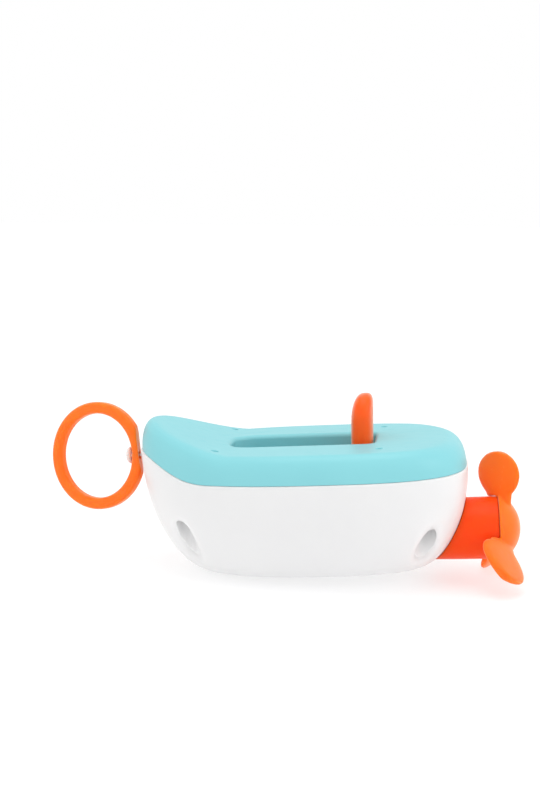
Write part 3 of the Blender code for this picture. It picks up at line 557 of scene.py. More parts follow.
def deck_skin():
    """The whole deck as one skin: tub, underside, rim, rounded side, top, cockpit wall and floor."""
    bottom = COCKPIT_FLOOR_Z - TUB_WALL
    tub = cockpit_outline(TUB_WALL)
    rings = []
    for step in range(6):
        angle = math.radians(18.0 * step)
        grow = TUB_WALL - COCKPIT_FOOT * (1.0 - math.sin(angle))
        rings.append(level_ring(cockpit_outline(grow), bottom + COCKPIT_FOOT * (1.0 - math.cos(angle))))
    heights = [0.0, 0.25, 0.5, 0.7, 0.85, 0.95, 1.0]
    inner_side = deck_rings(4.6, CROWN_INSET + 2.5, DECK_WALL, heights)
    rings += reversed(rings_between(inner_side[-1], tub, DECK_WALL, [0.33, 0.67, 1.0]))
    rings += reversed(inner_side)
    rings += [rim_ring(RIM_INSET + 0.3, -SEAM_LINE)]
    shares = [0.012] + [0.95 * step / 18 for step in range(1, 19)] + [0.97, 0.985, 0.995, 1.0]
    side = deck_rings(RIM_INSET, CROWN_INSET, 0.0, shares)
    rings += side
    across = [step / 10 for step in range(1, 11)]
    rings += rings_between(side[-1], cockpit_outline(COCKPIT_LIP), 0.0, across)
    for step in range(1, 9):
        angle = math.radians(90.0 * step / 8)
        lip = cockpit_outline(COCKPIT_LIP * (1.0 - math.sin(angle)))
        rings.append([(x, y, deck_height(x) - COCKPIT_LIP * (1.0 - math.cos(angle))) for x, y in lip])
    foot = COCKPIT_FLOOR_Z + COCKPIT_FOOT
    for share in (0.33, 0.67):
        ring = []
        for x, y in cockpit_outline(0.0):
            top = deck_height(x) - COCKPIT_LIP
            ring.append((x, y, top + (foot - top) * share))
        rings.append(ring)
    for step in range(6):
        angle = math.radians(18.0 * step)
        grow = -COCKPIT_FOOT * (1.0 - math.cos(angle))
        height = COCKPIT_FLOOR_Z + COCKPIT_FOOT * (1.0 - math.sin(angle))
        rings.append(level_ring(cockpit_outline(grow), height))
    return ring_stack("deck_moulding", rings)


def screw_boss(x, y):
    """A post under the deck for a hull screw, whose top follows the deck's slope."""
    foot = []
    head = []
    for step in range(32):
        angle = 2.0 * math.pi * step / 32
        c = math.cos(angle)
        s = math.sin(angle)
        foot.append((x + 2.7 * c, y + 2.7 * s, POST_TOP_Z + GAP))
        outward = max(0.0, 3.5 * (c * x + s * y) / math.hypot(x, y))
        head.append((x + 3.5 * c, y + 3.5 * s, deck_height(x + 3.5 * c) - 1.6 - 0.8 * outward))
    return ring_stack("screw_boss", [foot, head])


def make_deck(teal):
    """The deck, with its bosses, the lever's ears and slot, and four blind dots on top."""
    deck = put("deck_moulding", deck_skin())
    guide = (GUIDE_X, GUIDE_Y, 0.0)
    bosses = [screw_boss(x, y) for x, y in HULL_SCREWS]
    bosses.append(rod("guide_socket", 56.0, deck_height(GUIDE_X) - 1.5, 3.3, 32, "Z", guide))
    combine(deck, joined("bosses", bosses), "UNION")
    ears = []
    for side_y in (-8.2, 6.0):
        low = (LEVER_X - 3.5, side_y, LEVER_Z - 3.5)
        ears.append(block("ear", low, (LEVER_X + 3.5, side_y + 2.2, 31.0)))
    combine(deck, joined("ears", ears), "UNION")
    slot = block("slot", (23.0, -5.7, 25.0), (34.6, 5.7, COCKPIT_FLOOR_Z + 1.0))
    combine(deck, slot, "DIFFERENCE")
    pin_hole = rod("pin_hole", -12.0, 12.0, 1.4, 28, "Y", (LEVER_X, 0.0, LEVER_Z))
    combine(deck, pin_hole, "DIFFERENCE")
    pilots = [rod("socket", 50.0, 59.6, 1.8, 24, "Z", guide)]
    for x, y in HULL_SCREWS:
        pilots.append(rod("pilot", POST_TOP_Z - 1.0, POST_TOP_Z + 12.0, 1.5, 24, "Z", (x, y, 0.0)))
    combine(deck, joined("pilots", pilots), "DIFFERENCE")
    sinks = []
    for x in DOT_XS:
        for y in (-DOT_Y, DOT_Y):
            top = deck_height(x)
            profile = [(top - 1.2, 1.2), (top - 1.0, 1.5), (top - 0.3, 1.6), (top + 0.2, 1.95),
                       (top + 8.0, 3.0)]
            sinks.append(turned("sink", profile, 28, "Z", False, (x, y, 0.0)))
    combine(deck, joined("sinks", sinks), "DIFFERENCE")
    dress(deck, "hull", teal, ["deck"], 50.0)


# ---------------- screws

def make_hull_screws(steel):
    """Pan-head screws with a cross recess, up in the hull's wells."""
    for number, (x, y) in enumerate(HULL_SCREWS, 1):
        place = Matrix.Translation((x, y, WELL_TOP_Z - 0.1))
        head = [(-1.8, 0.4), (-1.76, 1.3), (-1.6, 2.0), (-1.3, 2.6), (-0.85, 2.92), (-0.4, 3.0),
                (0.0, 3.0)]
        thread = []
        for turn in range(10):
            along = 1.2 + turn
            thread += [(along, 0.95), (along + 0.35, 1.2), (along + 0.5, 1.2), (along + 0.85, 0.95)]
        profile = head + [(0.0, 1.0)] + thread + [(11.6, 0.8), (12.0, 0.3)]
        mesh = turned("screw", profile, 32, "Z", False, place=place)
        screw = put(f"hull_screw_detail_{number}", mesh)
        turn = math.radians(20.0 + 35.0 * number)
        for quarter in (0.0, 0.5 * math.pi):
            slot_place = place @ Matrix.Rotation(turn + quarter, 4, "Z")
            outline = [(-1.7, -0.3), (1.7, -0.3), (1.7, 0.3), (-1.7, 0.3)]
            combine(screw, prism("cross", outline, -2.5, -0.9, "Z", slot_place), "DIFFERENCE")
        dress(screw, "hull", steel, [f"hull_screw_{number}"], 30.0, False)


# ---------------- propeller end

def pod_screw_places():
    """Where the gearbox's screws enter the pod's neck, as (y, z) pairs."""
    radius = 0.5 * (POD_BORE_R + POD_NECK_R)
    places = []
    for degrees in (90.0, 210.0, 330.0):
        angle = math.radians(degrees)
        places.append((radius * math.cos(angle), SHAFT_Z + radius * math.sin(angle)))
    return places


def make_pod(orange):
    """A barrel whose fore end follows the hull's stern, with a neck and a stepped bore."""
    centre = (0.0, 0.0, SHAFT_Z)
    profile = [(55.0, POD_R - 0.3), (70.0, POD_R - 0.1), (POD_END_X - 0.3, POD_R)]
    for step in range(1, 7):
        angle = math.radians(15.0 * step)
        profile.append((POD_END_X - 0.3 + 0.5 * math.sin(angle), POD_R - 0.5 + 0.5 * math.cos(angle)))
    pod = put("pod_moulding", turned("pod", profile, 160, "X", False, centre))
    combine(pod, hull_solid("hull_outside", -GAP, -GAP), "DIFFERENCE")
    combine(pod, rod("neck", POD_NECK_X, 82.0, POD_NECK_R, 96, "X", centre), "UNION")
    bore = [(50.0, POD_BORE_R), (81.0, POD_BORE_R), (81.0, 4.6), (86.0, 4.6), (86.0, 3.6), (95.0, 3.6)]
    combine(pod, turned("bore", bore, 64, "X", False, centre), "DIFFERENCE")
    pilots = [rod("pilot", 50.0, 70.0, 0.9, 20, "X", (0.0, y, z)) for y, z in pod_screw_places()]
    combine(pod, joined("pilots", pilots), "DIFFERENCE")
    dress(pod, "hull", orange, ["propeller_pod"], 35.0)


def blade_rings(angle, steps):
    """Sections of one thick paddle blade, from inside the hub out to its tip."""
    shares = [-1.8, -1.2, -0.9]
    shares += [math.sin(math.radians(-50.0 + 136.0 * step / 22)) for step in range(23)]
    shares.append(0.9995)
    rings = []
    for share in shares:
        disc = max(0.0, 1.0 - share * share)
        neck = BLADE_NECK ** 4 * (1.0 if share < 0.0 else disc ** 2)
        half_chord = (neck + (BLADE_HALF_CHORD * math.sqrt(disc)) ** 4) ** 0.25
        radius = BLADE_MID_R + BLADE_DISC * share
        thick = 0.5 * BLADE_THICKNESS * (1.0 - 0.25 * max(0.0, 0.4 + 0.6 * share) ** 2)
        thick = min(thick, half_chord)
        ring = []
        for step in range(steps):
            turn = 2.0 * math.pi * step / steps
            along = half_chord * signed_power(math.cos(turn), 0.9)
            across = thick * signed_power(math.sin(turn), 0.9)
            x = along * math.cos(BLADE_PITCH) + across * math.sin(BLADE_PITCH)
            side = -along * math.sin(BLADE_PITCH) + across * math.cos(BLADE_PITCH)
            y = side * math.cos(angle) - radius * math.sin(angle)
            z = side * math.sin(angle) + radius * math.cos(angle)
            ring.append((BLADE_X - HUB_X + x, y, z))
        rings.append(ring)
    return rings


def make_propeller(orange):
    """Hub and blades moulded in one, with soft fillets where each blade leaves the hub."""
    place = Matrix.Translation((HUB_X, 0.0, SHAFT_Z))
    length = HUB_NOSE_X - HUB_X
    hub_centre = 0.5 * length - 0.5 * HUB_R ** 2 / length
    nose_r = length - hub_centre
    profile = [(0.0, HUB_R)]
    for step in range(1, 24):
        along = length * math.sin(0.5 * math.pi * step / 24)
        profile.append((along, math.sqrt(nose_r ** 2 - (along - hub_centre) ** 2)))
    profile.append((length, 0.3))
    propeller = put("propeller_moulding", turned("hub", profile, 120, "X", False, place=place))
    behind = [(-40.0, 0.2), (-40.0, POD_R + 0.4), (-0.05, POD_R + 0.4), (-0.05, 0.2)]
    for number in range(BLADES):
        rings = blade_rings(BLADE_TURN + 2.0 * math.pi * number / BLADES, 44)
        blade = put("blade", ring_stack("blade", rings, False, place))
        combine(blade, turned("behind", behind, 96, place=place), "DIFFERENCE")
        combine(propeller, blade.data, "UNION")
        bpy.data.objects.remove(blade)
    remesh = propeller.modifiers.new("one_skin", "REMESH")
    remesh.mode = "VOXEL"
    remesh.voxel_size = 0.42 * MM
    settle(propeller)
    fillet = propeller.modifiers.new("fillets", "SMOOTH")
    fillet.factor = 0.5
    fillet.iterations = 14
    settle(propeller)
    combine(propeller, rod("bore", -5.0, 7.0, SHAFT_R + 0.1, 40, place=place), "DIFFERENCE")
    dress(propeller, "propeller_line", orange, ["propeller"], 60.0, False)


# ---------------- cord, ring and stopper

def smooth_line(knots, steps):
    """A Catmull-Rom curve through the knots."""
    padded = [knots[0]] + knots + [knots[-1]]
    line = []
    for index in range(1, len(padded) - 2):
        p0, p1, p2, p3 = (Vector(padded[index + shift]) for shift in (-1, 0, 1, 2))
        for step in range(steps):
            t = step / steps
            point = 0.5 * ((2.0 * p1) + (p2 - p0) * t + (2.0 * p0 - 5.0 * p1 + 4.0 * p2 - p3) * t ** 2
                           + (3.0 * p1 - p0 - 3.0 * p2 + p3) * t ** 3)
            line.append(point)
    line.append(Vector(knots[-1]))
    return line


def cord_route():
    """From the ring's end, in at the bow, round the guide post and the pulley, to the drum's top."""
    bend_y = GUIDE_Y - GUIDE_R - CORD_R - 0.4
    knots = [(CORD_BEND_X, 0.0, CORD_EXIT_Z), (-70.0, -0.7, 54.7), (-62.0, -7.0, 53.0),
             (-54.0, -14.6, 50.8), (-46.0, -21.8, 49.0), (GUIDE_X, bend_y - 0.1, 48.7),
             (-39.0, -24.0, 48.3), (-20.0, CORD_SIDE_Y, 47.6), (10.0, CORD_SIDE_Y, CORD_Z + 0.1),
             (PULLEY_X - 6.0, CORD_SIDE_Y, CORD_Z)]
    outside = []
    steps = 120
    for step in range(steps):
        x = CORD_END_X + (CORD_BEND_X - CORD_END_X) * step / steps
        outside.append(Vector((x, 0.0, CORD_EXIT_Z)))
    route = outside + smooth_line(knots, 8)
    for step in range(13):
        angle = math.radians(-90.0 + 90.0 * step / 12)
        x = PULLEY_X + PULLEY_PATH_R * math.cos(angle)
        y = PULLEY_Y + PULLEY_PATH_R * math.sin(angle)
        route.append(Vector((x, y, CORD_Z)))
    route += [Vector((DRUM_MID_X, y, CORD_Z)) for y in (-14.0, -10.0, -6.2)]
    return route


def make_cord(braid):
    """One braided cord from the ring to the drum."""
    route = cord_route()
    rings = []
    up = Vector((0.0, 0.0, 1.0))
    for index, point in enumerate(route):
        before = route[max(index - 1, 0)]
        after = route[min(index + 1, len(route) - 1)]
        along = (after - before).normalized()
        side = along.cross(up).normalized()
        above = side.cross(along)
        ring = []
        for step in range(20):
            angle = 2.0 * math.pi * step / 20
            ring.append(tuple(point + CORD_R * (math.cos(angle) * side + math.sin(angle) * above)))
        rings.append(ring)
    cord = put("braided_cord", ring_stack("braided_cord", rings))
    cord.data.materials.append(braid)
    cord.data.shade_smooth()
    cord.data.set_sharp_from_angle(angle=math.radians(60.0))
    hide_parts("pull_cord", "cord_tail")
    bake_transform(cord)


def make_eyelet(white):
    """The smooth bush that the cord runs through at the bow."""
    lip = [(-76.4, 1.15), (-76.8, 1.3), (-77.0, 1.7), (-77.0, EYELET_R - 0.2), (-76.8, EYELET_R),
           (-72.4, EYELET_R), (-72.2, EYELET_R - 0.2), (-72.2, 1.7), (-72.4, 1.3), (-72.8, 1.15)]
    eyelet = put("eyelet_moulding", turned("eyelet", lip, 56, "X", True, (0.0, 0.0, CORD_EXIT_Z)))
    dress(eyelet, "hull", white, ["bow_eyelet"], 50.0, False)


def ring_section(inner, outer, half_thickness, radius):
    """The ring's rounded-rectangle section, as (radius, side) pairs."""
    section = []
    corners = [(outer, half_thickness, 0), (inner, half_thickness, 90),
               (inner, -half_thickness, 180), (outer, -half_thickness, 270)]
    for r, side, begin in corners:
        centre_r = r - math.copysign(radius, r - 0.5 * (inner + outer))
        centre_side = side - math.copysign(radius, side)
        for step in range(9):
            angle = math.radians(begin + 90.0 * step / 8)
            corner_r = centre_r + radius * math.cos(angle)
            section.append((corner_r, centre_side + radius * math.sin(angle)))
    return section


def ring_place():
    """How the ring hangs: twisted about the cord, drooping a little and turned to one side."""
    hinge = Matrix.Translation((RING_HINGE_X, 0.0, CORD_EXIT_Z))
    turn = Matrix.Rotation(RING_TURN, 4, "Z") @ Matrix.Rotation(-RING_DROOP, 4, "Y")
    return hinge @ turn @ Matrix.Rotation(RING_TWIST, 4, "X")


def make_ring(orange):
    """The finger ring, hanging off the cord at the middle of a flat that faces the bow."""
    near = [math.radians(-36.0 + 0.6 * step) for step in range(120)]
    rest = [math.radians(36.0 + 288.0 * step / 144) for step in range(144)]
    section = ring_section(RING_R - RING_BAND, RING_R, 0.5 * RING_THICKNESS, RING_ROUNDING)
    rings = []
    for angle in near + rest:
        ring = []
        for radius, through in section:
            local = (radius * math.cos(angle) - RING_REACH, through, radius * math.sin(angle))
            point = ring_place() @ Vector(local)
            flat_x = RING_HINGE_X - (point.z - CORD_EXIT_Z) * math.tan(RING_FLAT_PITCH)
            ring.append((min(point.x, flat_x), point.y, point.z))
        rings.append(ring)
    ring = put("ring_moulding", ring_stack("ring", rings, True))
    seat = RING_R - RING_BAND - RING_REACH
    hole = [(-20.0, 1.5), (seat - 1.0, 1.5), (-1.4, 1.5), (-0.6, 1.9), (5.0, 4.0)]
    combine(ring, turned("hole", hole, 40, "X", False, place=ring_place()), "DIFFERENCE")
    dress(ring, "ring", orange, ["pull_ring"], 40.0)


def make_stopper(clear):
    """A clear button on the cord's end, seated inside the ring."""
    seat = RING_R - RING_BAND - RING_REACH - 0.8
    profile = [(-0.9, 1.1), (seat, 1.1), (seat, 3.5), (seat - 0.15, 3.8)]
    for step in range(1, 15):
        angle = math.radians(90.0 * step / 15)
        profile.append((seat - 0.3 - 2.0 * math.sin(angle), 0.4 + 3.7 * math.cos(angle)))
    profile.append((seat - 2.3, 0.35))
    mesh = turned("stopper", profile, 56, "X", False, place=ring_place())
    stopper = put("stopper_moulding", mesh)
    dress(stopper, "ring", clear, ["cord_stopper"], 45.0, False)


# ---------------- lever

def corner_fall(share, power):
    """What is left of a rounded corner's depth at a share of its height: from 1 down to 0."""
    return max(0.0, 1.0 - max(0.0, share) ** power) ** (1.0 / power)


def lever_rings(heights, around):
    """Level sections of the lever's tab, which rounds off at the top and a little at its foot."""
    rings = []
    for z in heights:
        below = LEVER_TOP_Z - z
        middle = 0.2 - LEVER_LEAN * below
        foot = LEVER_FOOT_R * (1.0 - corner_fall(1.0 - (z - LEVER_FOOT_Z) / LEVER_FOOT_R, 2.0))
        fore = middle - LEVER_FORE_DEPTH * corner_fall(1.0 - below / LEVER_FORE_CORNER, 2.4) + foot
        aft = middle + LEVER_AFT_DEPTH * corner_fall(1.0 - below / LEVER_AFT_CORNER, 3.0) - foot
        half_width = LEVER_HALF_WIDTH * corner_fall(1.0 - below / LEVER_SIDE_CORNER, 2.4) - foot
        ring = []
        for step in range(around):
            angle = 2.0 * math.pi * (step + 0.5) / around
            x = 0.5 * (fore + aft) + 0.5 * (aft - fore) * signed_power(math.cos(angle), 0.72)
            ring.append((x, half_width * signed_power(math.sin(angle), 0.72), z))
        rings.append(ring)
    return rings


def make_lever(orange):
    """The thumb lever: a thick tab, rounded all over, on a shank that reaches down to its pin."""
    place = Matrix.Translation((LEVER_X, 0.0, LEVER_Z))
    heights = []
    for step in range(7):
        heights.append(LEVER_FOOT_Z + LEVER_FOOT_R * (1.0 - math.cos(math.radians(15.0 * step))))
    heights += [LEVER_FOOT_Z + rise for rise in (6.0, 12.0, 18.0, 24.0)]
    for step in range(37):
        below = 16.0 * (1.0 - math.sin(math.radians(2.5 * step)))
        heights.append(LEVER_TOP_Z - max(0.01, below))
    lever = put("lever_moulding", ring_stack("lever", lever_rings(heights, 96), False, place))
    shank = [(-3.0, 17.0), (1.0, 17.0), (2.4, 3.0), (4.0, 0.2), (12.4, -0.6), (12.4, -2.2),
             (5.0, -2.2), (0.0, -3.2), (-2.4, -2.2), (-3.2, 0.0)]
    combine(lever, prism("shank", shank, -4.8, 4.8, "Y", place), "UNION")
    combine(lever, rod("bore", -8.0, 8.0, 1.6, 32, "Y", place=place), "DIFFERENCE")
    dress(lever, "lever", orange, ["release_lever"], 40.0)


# ---------------- materials

def node(tree, kind, **values):
    """A new shader node with its settings."""
    made = tree.nodes.new(kind)
    for key, value in values.items():
        setattr(made, key, value)
    return made


def fix(made, values):
    """Sets a node's inputs to plain values, by name."""
    for name, value in values.items():
        made.inputs[name].default_value = value


def calculate(tree, operation, *values):
    """A sum over sockets and plain numbers."""
    made = node(tree, "ShaderNodeMath", operation=operation)
    for socket, value in zip(made.inputs, values):
        if isinstance(value, float):
            socket.default_value = value
        else:
            tree.links.new(value, socket)
    return made.outputs[0]


def blank(name):
    """A new material with its tree, its shader and the object's own coordinates."""
    material = bpy.data.materials.new(name)
    material.use_nodes = True
    tree = material.node_tree
    shader = tree.nodes["Principled BSDF"]
    place = node(tree, "ShaderNodeTexCoord").outputs["Object"]
    return material, tree, shader, place


def noise(tree, place, scale, detail=4.0, roughness=0.5, stretch=None):
    """Noise over the object's own coordinates, in features per metre."""
    source = place
    if stretch:
        mapping = node(tree, "ShaderNodeMapping")
        fix(mapping, {"Scale": stretch})
        tree.links.new(place, mapping.inputs["Vector"])
        source = mapping.outputs["Vector"]
    texture = node(tree, "ShaderNodeTexNoise")
    fix(texture, {"Scale": scale, "Detail": detail, "Roughness": roughness})
    tree.links.new(source, texture.inputs["Vector"])
    return texture.outputs["Fac"]


def spread(tree, value, from_low, from_high, to_low, to_high):
    """The value's range carried over to another one, and held inside it."""
    span = node(tree, "ShaderNodeMapRange")
    fix(span, {"From Min": from_low, "From Max": from_high, "To Min": to_low, "To Max": to_high})
    tree.links.new(value, span.inputs["Value"])
    return span.outputs["Result"]


def blended(tree, share, first, second):
    """One colour laid over another by a share, where each is a colour or a socket."""
    mix = node(tree, "ShaderNodeMix", data_type="RGBA")
    tree.links.new(share, mix.inputs["Factor"])
    for socket, colour in (("A", first), ("B", second)):
        target = [s for s in mix.inputs if s.name == socket and s.type == "RGBA"][0]
        if isinstance(colour, tuple):
            target.default_value = (*colour, 1.0)
        else:
            tree.links.new(colour, target)
    return [s for s in mix.outputs if s.type == "RGBA"][0]


def bump(tree, shader, heights):
    """Stacks bumps: (height socket, depth in metres) pairs."""
    normal = None
    for height, depth in heights:
        step = node(tree, "ShaderNodeBump")
        fix(step, {"Strength": 1.0, "Distance": depth})
        tree.links.new(height, step.inputs["Height"])
        if normal:
            tree.links.new(normal, step.inputs["Normal"])
        normal = step.outputs["Normal"]
    tree.links.new(normal, shader.inputs["Normal"])


def edge_wear(tree, low, high):
    """How far a point lies on an outer edge, from the shape itself."""
    pointiness = node(tree, "ShaderNodeNewGeometry").outputs["Pointiness"]
    return spread(tree, pointiness, low, high, 0.0, 1.0)


def colour_by(tree, shader, share, first, second):
    """Colours the surface between two tones by a share."""
    tree.links.new(blended(tree, share, first, second), shader.inputs["Base Color"])


def roughen_by(tree, shader, value, from_low, from_high, smooth, rough):
    """Carries a value's range over to the surface's roughness."""
    roughness = spread(tree, value, from_low, from_high, smooth, rough)
    tree.links.new(roughness, shader.inputs["Roughness"])


def moulded_plastic(name, colour, deep, worn, roughness, grain_depth, gloss=0.5, glow=None, bloom=None):
    """Injection-moulded plastic: cloudy pigment, a fine spark-eroded grain, faint flow waves,
    rubbed spots and edges that have gone a little paler."""
    material, tree, shader, place = blank(name)
    cloud = spread(tree, noise(tree, place, 22.0, 3.0), 0.35, 0.65, 0.0, 1.0)
    speck = spread(tree, noise(tree, place, 1500.0, 2.0), 0.6, 0.72, 0.0, 0.2)
    rub = noise(tree, place, 140.0, 5.0, 0.6, (1.0, 2.6, 2.6))
    scuff = spread(tree, rub, 0.56, 0.7, 0.0, 1.0)
    edge = edge_wear(tree, 0.54, 0.66)
    worn_edge = calculate(tree, "MULTIPLY", edge, spread(tree, rub, 0.4, 0.6, 0.15, 0.5))
    base = blended(tree, cloud, colour, deep)
    base = blended(tree, speck, base, deep)
    colour_by(tree, shader, worn_edge, base, worn)
    roughen_by(tree, shader, scuff, 0.0, 1.0, roughness, roughness + 0.1)
    grain = noise(tree, place, 2600.0, 2.0)
    waves = noise(tree, place, 160.0, 1.0)
    bump(tree, shader, [(waves, 0.00012), (grain, grain_depth)])
    fix(shader, {"Specular IOR Level": gloss})
    if glow:
        fix(shader, {"Subsurface Weight": 0.8, "Subsurface Radius": glow, "Subsurface Scale": 0.004})
    if bloom:
        fix(shader, {"Sheen Weight": 0.5, "Sheen Roughness": 0.35, "Sheen Tint": (*bloom, 1.0)})
    return material


def clear_plastic(name):
    """Soft clear vinyl with a pink cast, faintly clouded and scratched."""
    material, tree, shader, place = blank(name)
    cloud = spread(tree, noise(tree, place, 260.0, 3.0), 0.35, 0.7, 0.0, 1.0)
    colour_by(tree, shader, cloud, (0.99, 0.84, 0.80), (0.97, 0.78, 0.74))
    scratch = noise(tree, place, 1600.0, 3.0, 0.6, (1.0, 5.0, 1.0))
    roughen_by(tree, shader, scratch, 0.4, 0.7, 0.2, 0.34)
    bump(tree, shader, [(scratch, 0.000008)])
    fix(shader, {"Transmission Weight": 0.12, "IOR": 1.44, "Subsurface Weight": 0.7,
                 "Subsurface Radius": (1.0, 0.6, 0.5), "Subsurface Scale": 0.003})
    return material


def steel(name):
    """Drawn steel with fine lines along it and a few dull patches."""
    material, tree, shader, place = blank(name)
    lines = noise(tree, place, 500.0, 4.0, 0.6, (0.08, 6.0, 6.0))
    dull = noise(tree, place, 180.0, 4.0)
    tone = spread(tree, dull, 0.35, 0.7, 0.0, 1.0)
    colour_by(tree, shader, tone, (0.66, 0.66, 0.67), (0.47, 0.46, 0.45))
    roughen_by(tree, shader, lines, 0.3, 0.7, 0.2, 0.42)
    bump(tree, shader, [(lines, 0.00001)])
    fix(shader, {"Metallic": 1.0})
    return material


def bronze(name):
    """Sintered bronze: a porous bearing metal, mottled by its oil."""
    material, tree, shader, place = blank(name)
    pores = node(tree, "ShaderNodeTexVoronoi")
    fix(pores, {"Scale": 4200.0})
    tree.links.new(place, pores.inputs["Vector"])
    oil = spread(tree, noise(tree, place, 400.0, 3.0), 0.4, 0.65, 0.0, 1.0)
    colour_by(tree, shader, oil, (0.66, 0.46, 0.22), (0.42, 0.27, 0.12))
    roughen_by(tree, shader, oil, 0.0, 1.0, 0.46, 0.28)
    bump(tree, shader, [(pores.outputs["Distance"], 0.00003)])
    fix(shader, {"Metallic": 1.0})
    return material


def rubber(name):
    """Matt black rubber with a dusty bloom."""
    material, tree, shader, place = blank(name)
    bloom = spread(tree, noise(tree, place, 240.0, 5.0, 0.65), 0.45, 0.75, 0.0, 1.0)
    colour_by(tree, shader, bloom, (0.028, 0.028, 0.03), (0.085, 0.083, 0.08))
    roughen_by(tree, shader, bloom, 0.0, 1.0, 0.7, 0.9)
    bump(tree, shader, [(noise(tree, place, 3000.0, 2.0), 0.00003)])
    return material


def braided(name):
    """A white braid: strands cross both ways round the cord, with fine fibres along them, and the
    grooves between them are coloured grey as painted shade.
    """
    material, tree, shader, place = blank(name)
    split = node(tree, "ShaderNodeSeparateXYZ")
    tree.links.new(place, split.inputs[0])
    height = calculate(tree, "SUBTRACT", split.outputs["Z"], (CORD_EXIT_Z + KEEL_HEIGHT) * MM)
    angle = calculate(tree, "ARCTAN2", height, split.outputs["Y"])
    pitch = 1.1 * MM
    strands = []
    for way in (-4.0, 4.0):
        around = calculate(tree, "MULTIPLY", angle, way)
        along = calculate(tree, "MULTIPLY_ADD", split.outputs["X"], 2.0 * math.pi / pitch, around)
        strands.append(calculate(tree, "SINE", along))
    weave = calculate(tree, "MAXIMUM", *strands)
    crest = spread(tree, weave, -0.6, 1.0, 0.0, 1.0)
    # Painted shade: the strands' crests are coloured white and the grooves between them grey, for the
    # shade that falls in them.
    colour_by(tree, shader, crest, (0.55, 0.54, 0.52), (0.9, 0.9, 0.88))
    fibre = noise(tree, place, 6000.0, 2.0)
    roughen_by(tree, shader, fibre, 0.3, 0.7, 0.7, 0.9)
    bump(tree, shader, [(crest, 0.00012), (fibre, 0.00002)])
    fix(shader, {"Sheen Weight": 0.3})
    return material


def light_table(name):
    """A pale, fine-toothed table lit softly from below, so that shadows on it stay faint."""
    material, tree, shader, place = blank(name)
    tooth = noise(tree, place, 700.0, 3.0)
    tone = spread(tree, noise(tree, place, 3.0, 2.0), 0.3, 0.7, 0.0, 1.0)
    colour_by(tree, shader, tone, (0.44, 0.44, 0.44), (0.42, 0.42, 0.425))
    roughen_by(tree, shader, tooth, 0.3, 0.7, 0.85, 0.95)
    bump(tree, shader, [(tooth, 0.00002)])
    fix(shader, {"Emission Color": (1.0, 1.0, 1.0, 1.0), "Emission Strength": 0.57})
    return material


def make_orange(name, colour, deep, worn, roughness, gloss, bloom=None):
    """One of the three orange materials, which let light in a little. The lever's is the pod's orange
    made brighter, as painted light that makes up for the shade it stands in down in the cockpit.
    """
    return moulded_plastic(name, colour, deep, worn, roughness, grain_depth=0.000008, gloss=gloss,
                           glow=(1.0, 0.25, 0.05), bloom=bloom)


def make_materials():
    """Every material by the name of its slot."""
    pale = (1.0, 0.8, 0.62)
    return {
        "white_plastic": moulded_plastic(
            "white_plastic", (0.805, 0.805, 0.805), (0.79, 0.79, 0.793), (0.86, 0.86, 0.86),
            roughness=0.36, grain_depth=0.00001, gloss=0.35, glow=(1.0, 1.0, 1.0)),
        "teal_plastic": moulded_plastic(
            "teal_plastic", (0.226, 0.59, 0.635), (0.216, 0.572, 0.62), (0.30, 0.69, 0.73),
            roughness=0.42, grain_depth=0.000012, gloss=0.35),
        "orange_plastic": make_orange(
            "orange_plastic", (0.93, 0.078, 0.003), (0.90, 0.066, 0.0025), (1.0, 0.13, 0.01),
            roughness=0.4, gloss=0.15),
        # Painted light: the lever's orange is brighter than the pod's, to make up for the shade it
        # stands in down in the cockpit.
        "lever_plastic": make_orange(
            "lever_plastic", (1.0, 0.12, 0.008), (0.97, 0.105, 0.007), (1.0, 0.2, 0.03),
            roughness=0.36, gloss=0.2, bloom=pale),
        "soft_orange_plastic": make_orange(
            "soft_orange_plastic", (1.0, 0.185, 0.009), (0.98, 0.165, 0.008), (1.0, 0.25, 0.03),
            roughness=0.38, gloss=0.2, bloom=pale),
        "clear_stopper": clear_plastic("clear_vinyl"),
        "nylon": moulded_plastic(
            "nylon", (0.82, 0.80, 0.74), (0.76, 0.74, 0.68), (0.88, 0.86, 0.8),
            roughness=0.45, grain_depth=0.000015),
        "grey_plastic": moulded_plastic(
            "grey_plastic", (0.30, 0.31, 0.33), (0.26, 0.27, 0.29), (0.4, 0.41, 0.43),
            roughness=0.5, grain_depth=0.00002),
        "steel": steel("drawn_steel"),
        "bronze": bronze("sintered_bronze"),
        "rubber": rubber("black_rubber"),
        "cord": braided("braid"),
    }


def dress_cad_nodes(materials):
    """The CAD's own pieces that stay in view get the scene's materials."""
    slots = {part["node"]: part["material_slot"] for part in frame["record"]["subparts"]}
    for name, piece in frame["nodes"].items():
        if not piece.hide_render:
            for slot in piece.material_slots:
                slot.material = materials[slots[name]]


# ---------------- stage

def make_floor():
    """A wide floor under the boat, which rests bow-down on its forefoot and its lowest blade."""
    clearance = 0.8 * MM
    fore = TO_FRAME @ Vector((KEEL_BOW_X, 0.0, 0.0))
    aft = TO_FRAME @ Vector((95.0, 0.0, -KEEL_HEIGHT))
    lean = math.atan2(fore.z - aft.z, aft.x - fore.x)
    around = 96
    points = []
    faces = [tuple(range(around))]
    for level, radius in enumerate((0.05, 0.2, 0.6, 2.0, 6.0, 20.0)):
        low = (level - 1) * around
        for index in range(around):
            angle = 2.0 * math.pi * index / around
            points.append((radius * math.cos(angle), radius * math.sin(angle), 0.0))
            after = (index + 1) % around
            if level:
                faces.append((low + index, low + after, low + around + after, low + around + index))
    mesh = bpy.data.meshes.new("studio_floor")
    mesh.from_pydata(points, [], faces)
    floor = put("studio_floor", mesh)
    floor.location = (0.0, 0.0, fore.z + fore.x * math.tan(lean) - clearance)
    floor.rotation_euler = (0.0, lean, 0.0)
    mesh.materials.append(light_table("light_table"))


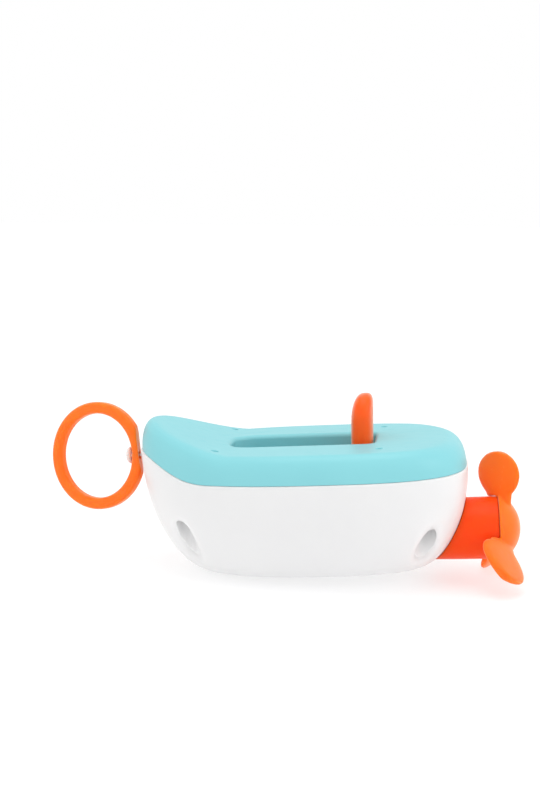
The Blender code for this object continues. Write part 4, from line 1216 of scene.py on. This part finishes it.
def area_light(name, place, target, size, power):
    """A round soft light that faces a target."""
    data = bpy.data.lights.new(name, "AREA")
    data.shape = "DISK"
    data.size = size
    data.energy = power
    light = bpy.data.objects.new(name, data)
    light.location = place
    light.rotation_euler = (Vector(target) - Vector(place)).to_track_quat("-Z", "Y").to_euler()
    bpy.context.scene.collection.objects.link(light)


def make_lights():
    """A soft light overhead, one from each side and an even white surround."""
    middle = (0.0, 0.0, 0.04)
    area_light("overhead", (0.1, -0.15, 1.0), middle, 0.6, 2.2)
    area_light("left_side", (-1.0, -0.4, 0.35), middle, 0.6, 0.7)
    area_light("right_side", (1.0, -0.4, 0.45), middle, 0.5, 2.0)
    world = bpy.data.worlds.new("studio")
    world.use_nodes = True
    background = world.node_tree.nodes["Background"]
    fix(background, {"Color": (1.0, 1.0, 1.0, 1.0), "Strength": 1.0})
    bpy.context.scene.world = world


def make_camera():
    """The photograph's viewpoint: a little above the deck, from starboard."""
    yaw = math.radians(7.797)
    pitch = math.radians(8.146)
    roll = math.radians(3.095)
    place = TO_FRAME @ Vector((65.74, -583.85, 161.98))
    aim = Matrix.Rotation(yaw, 4, "Z") @ Matrix.Rotation(0.5 * math.pi - pitch, 4, "X")
    camera = bpy.data.objects.new("camera", bpy.data.cameras.new("camera"))
    camera.matrix_world = Matrix.Translation(place) @ aim @ Matrix.Rotation(-roll, 4, "Z")
    camera.data.sensor_width = 36.0
    camera.data.lens = 55.56
    camera.data.clip_start = 0.01
    camera.data.clip_end = 100.0
    bpy.context.scene.collection.objects.link(camera)
    bpy.context.scene.camera = camera


# ---------------- the boat

def main():
    """Builds the scene."""
    materials = make_materials()
    make_camera()
    make_cord(materials["cord"])
    make_hull(materials["white_plastic"])
    make_deck(materials["teal_plastic"])
    make_hull_screws(materials["steel"])
    make_pod(materials["orange_plastic"])
    make_propeller(materials["soft_orange_plastic"])
    make_eyelet(materials["white_plastic"])
    make_ring(materials["soft_orange_plastic"])
    make_stopper(materials["clear_stopper"])
    make_lever(materials["lever_plastic"])
    dress_cad_nodes(materials)
    make_floor()
    make_lights()
    bpy.context.scene.view_settings.view_transform = "Standard"


main()
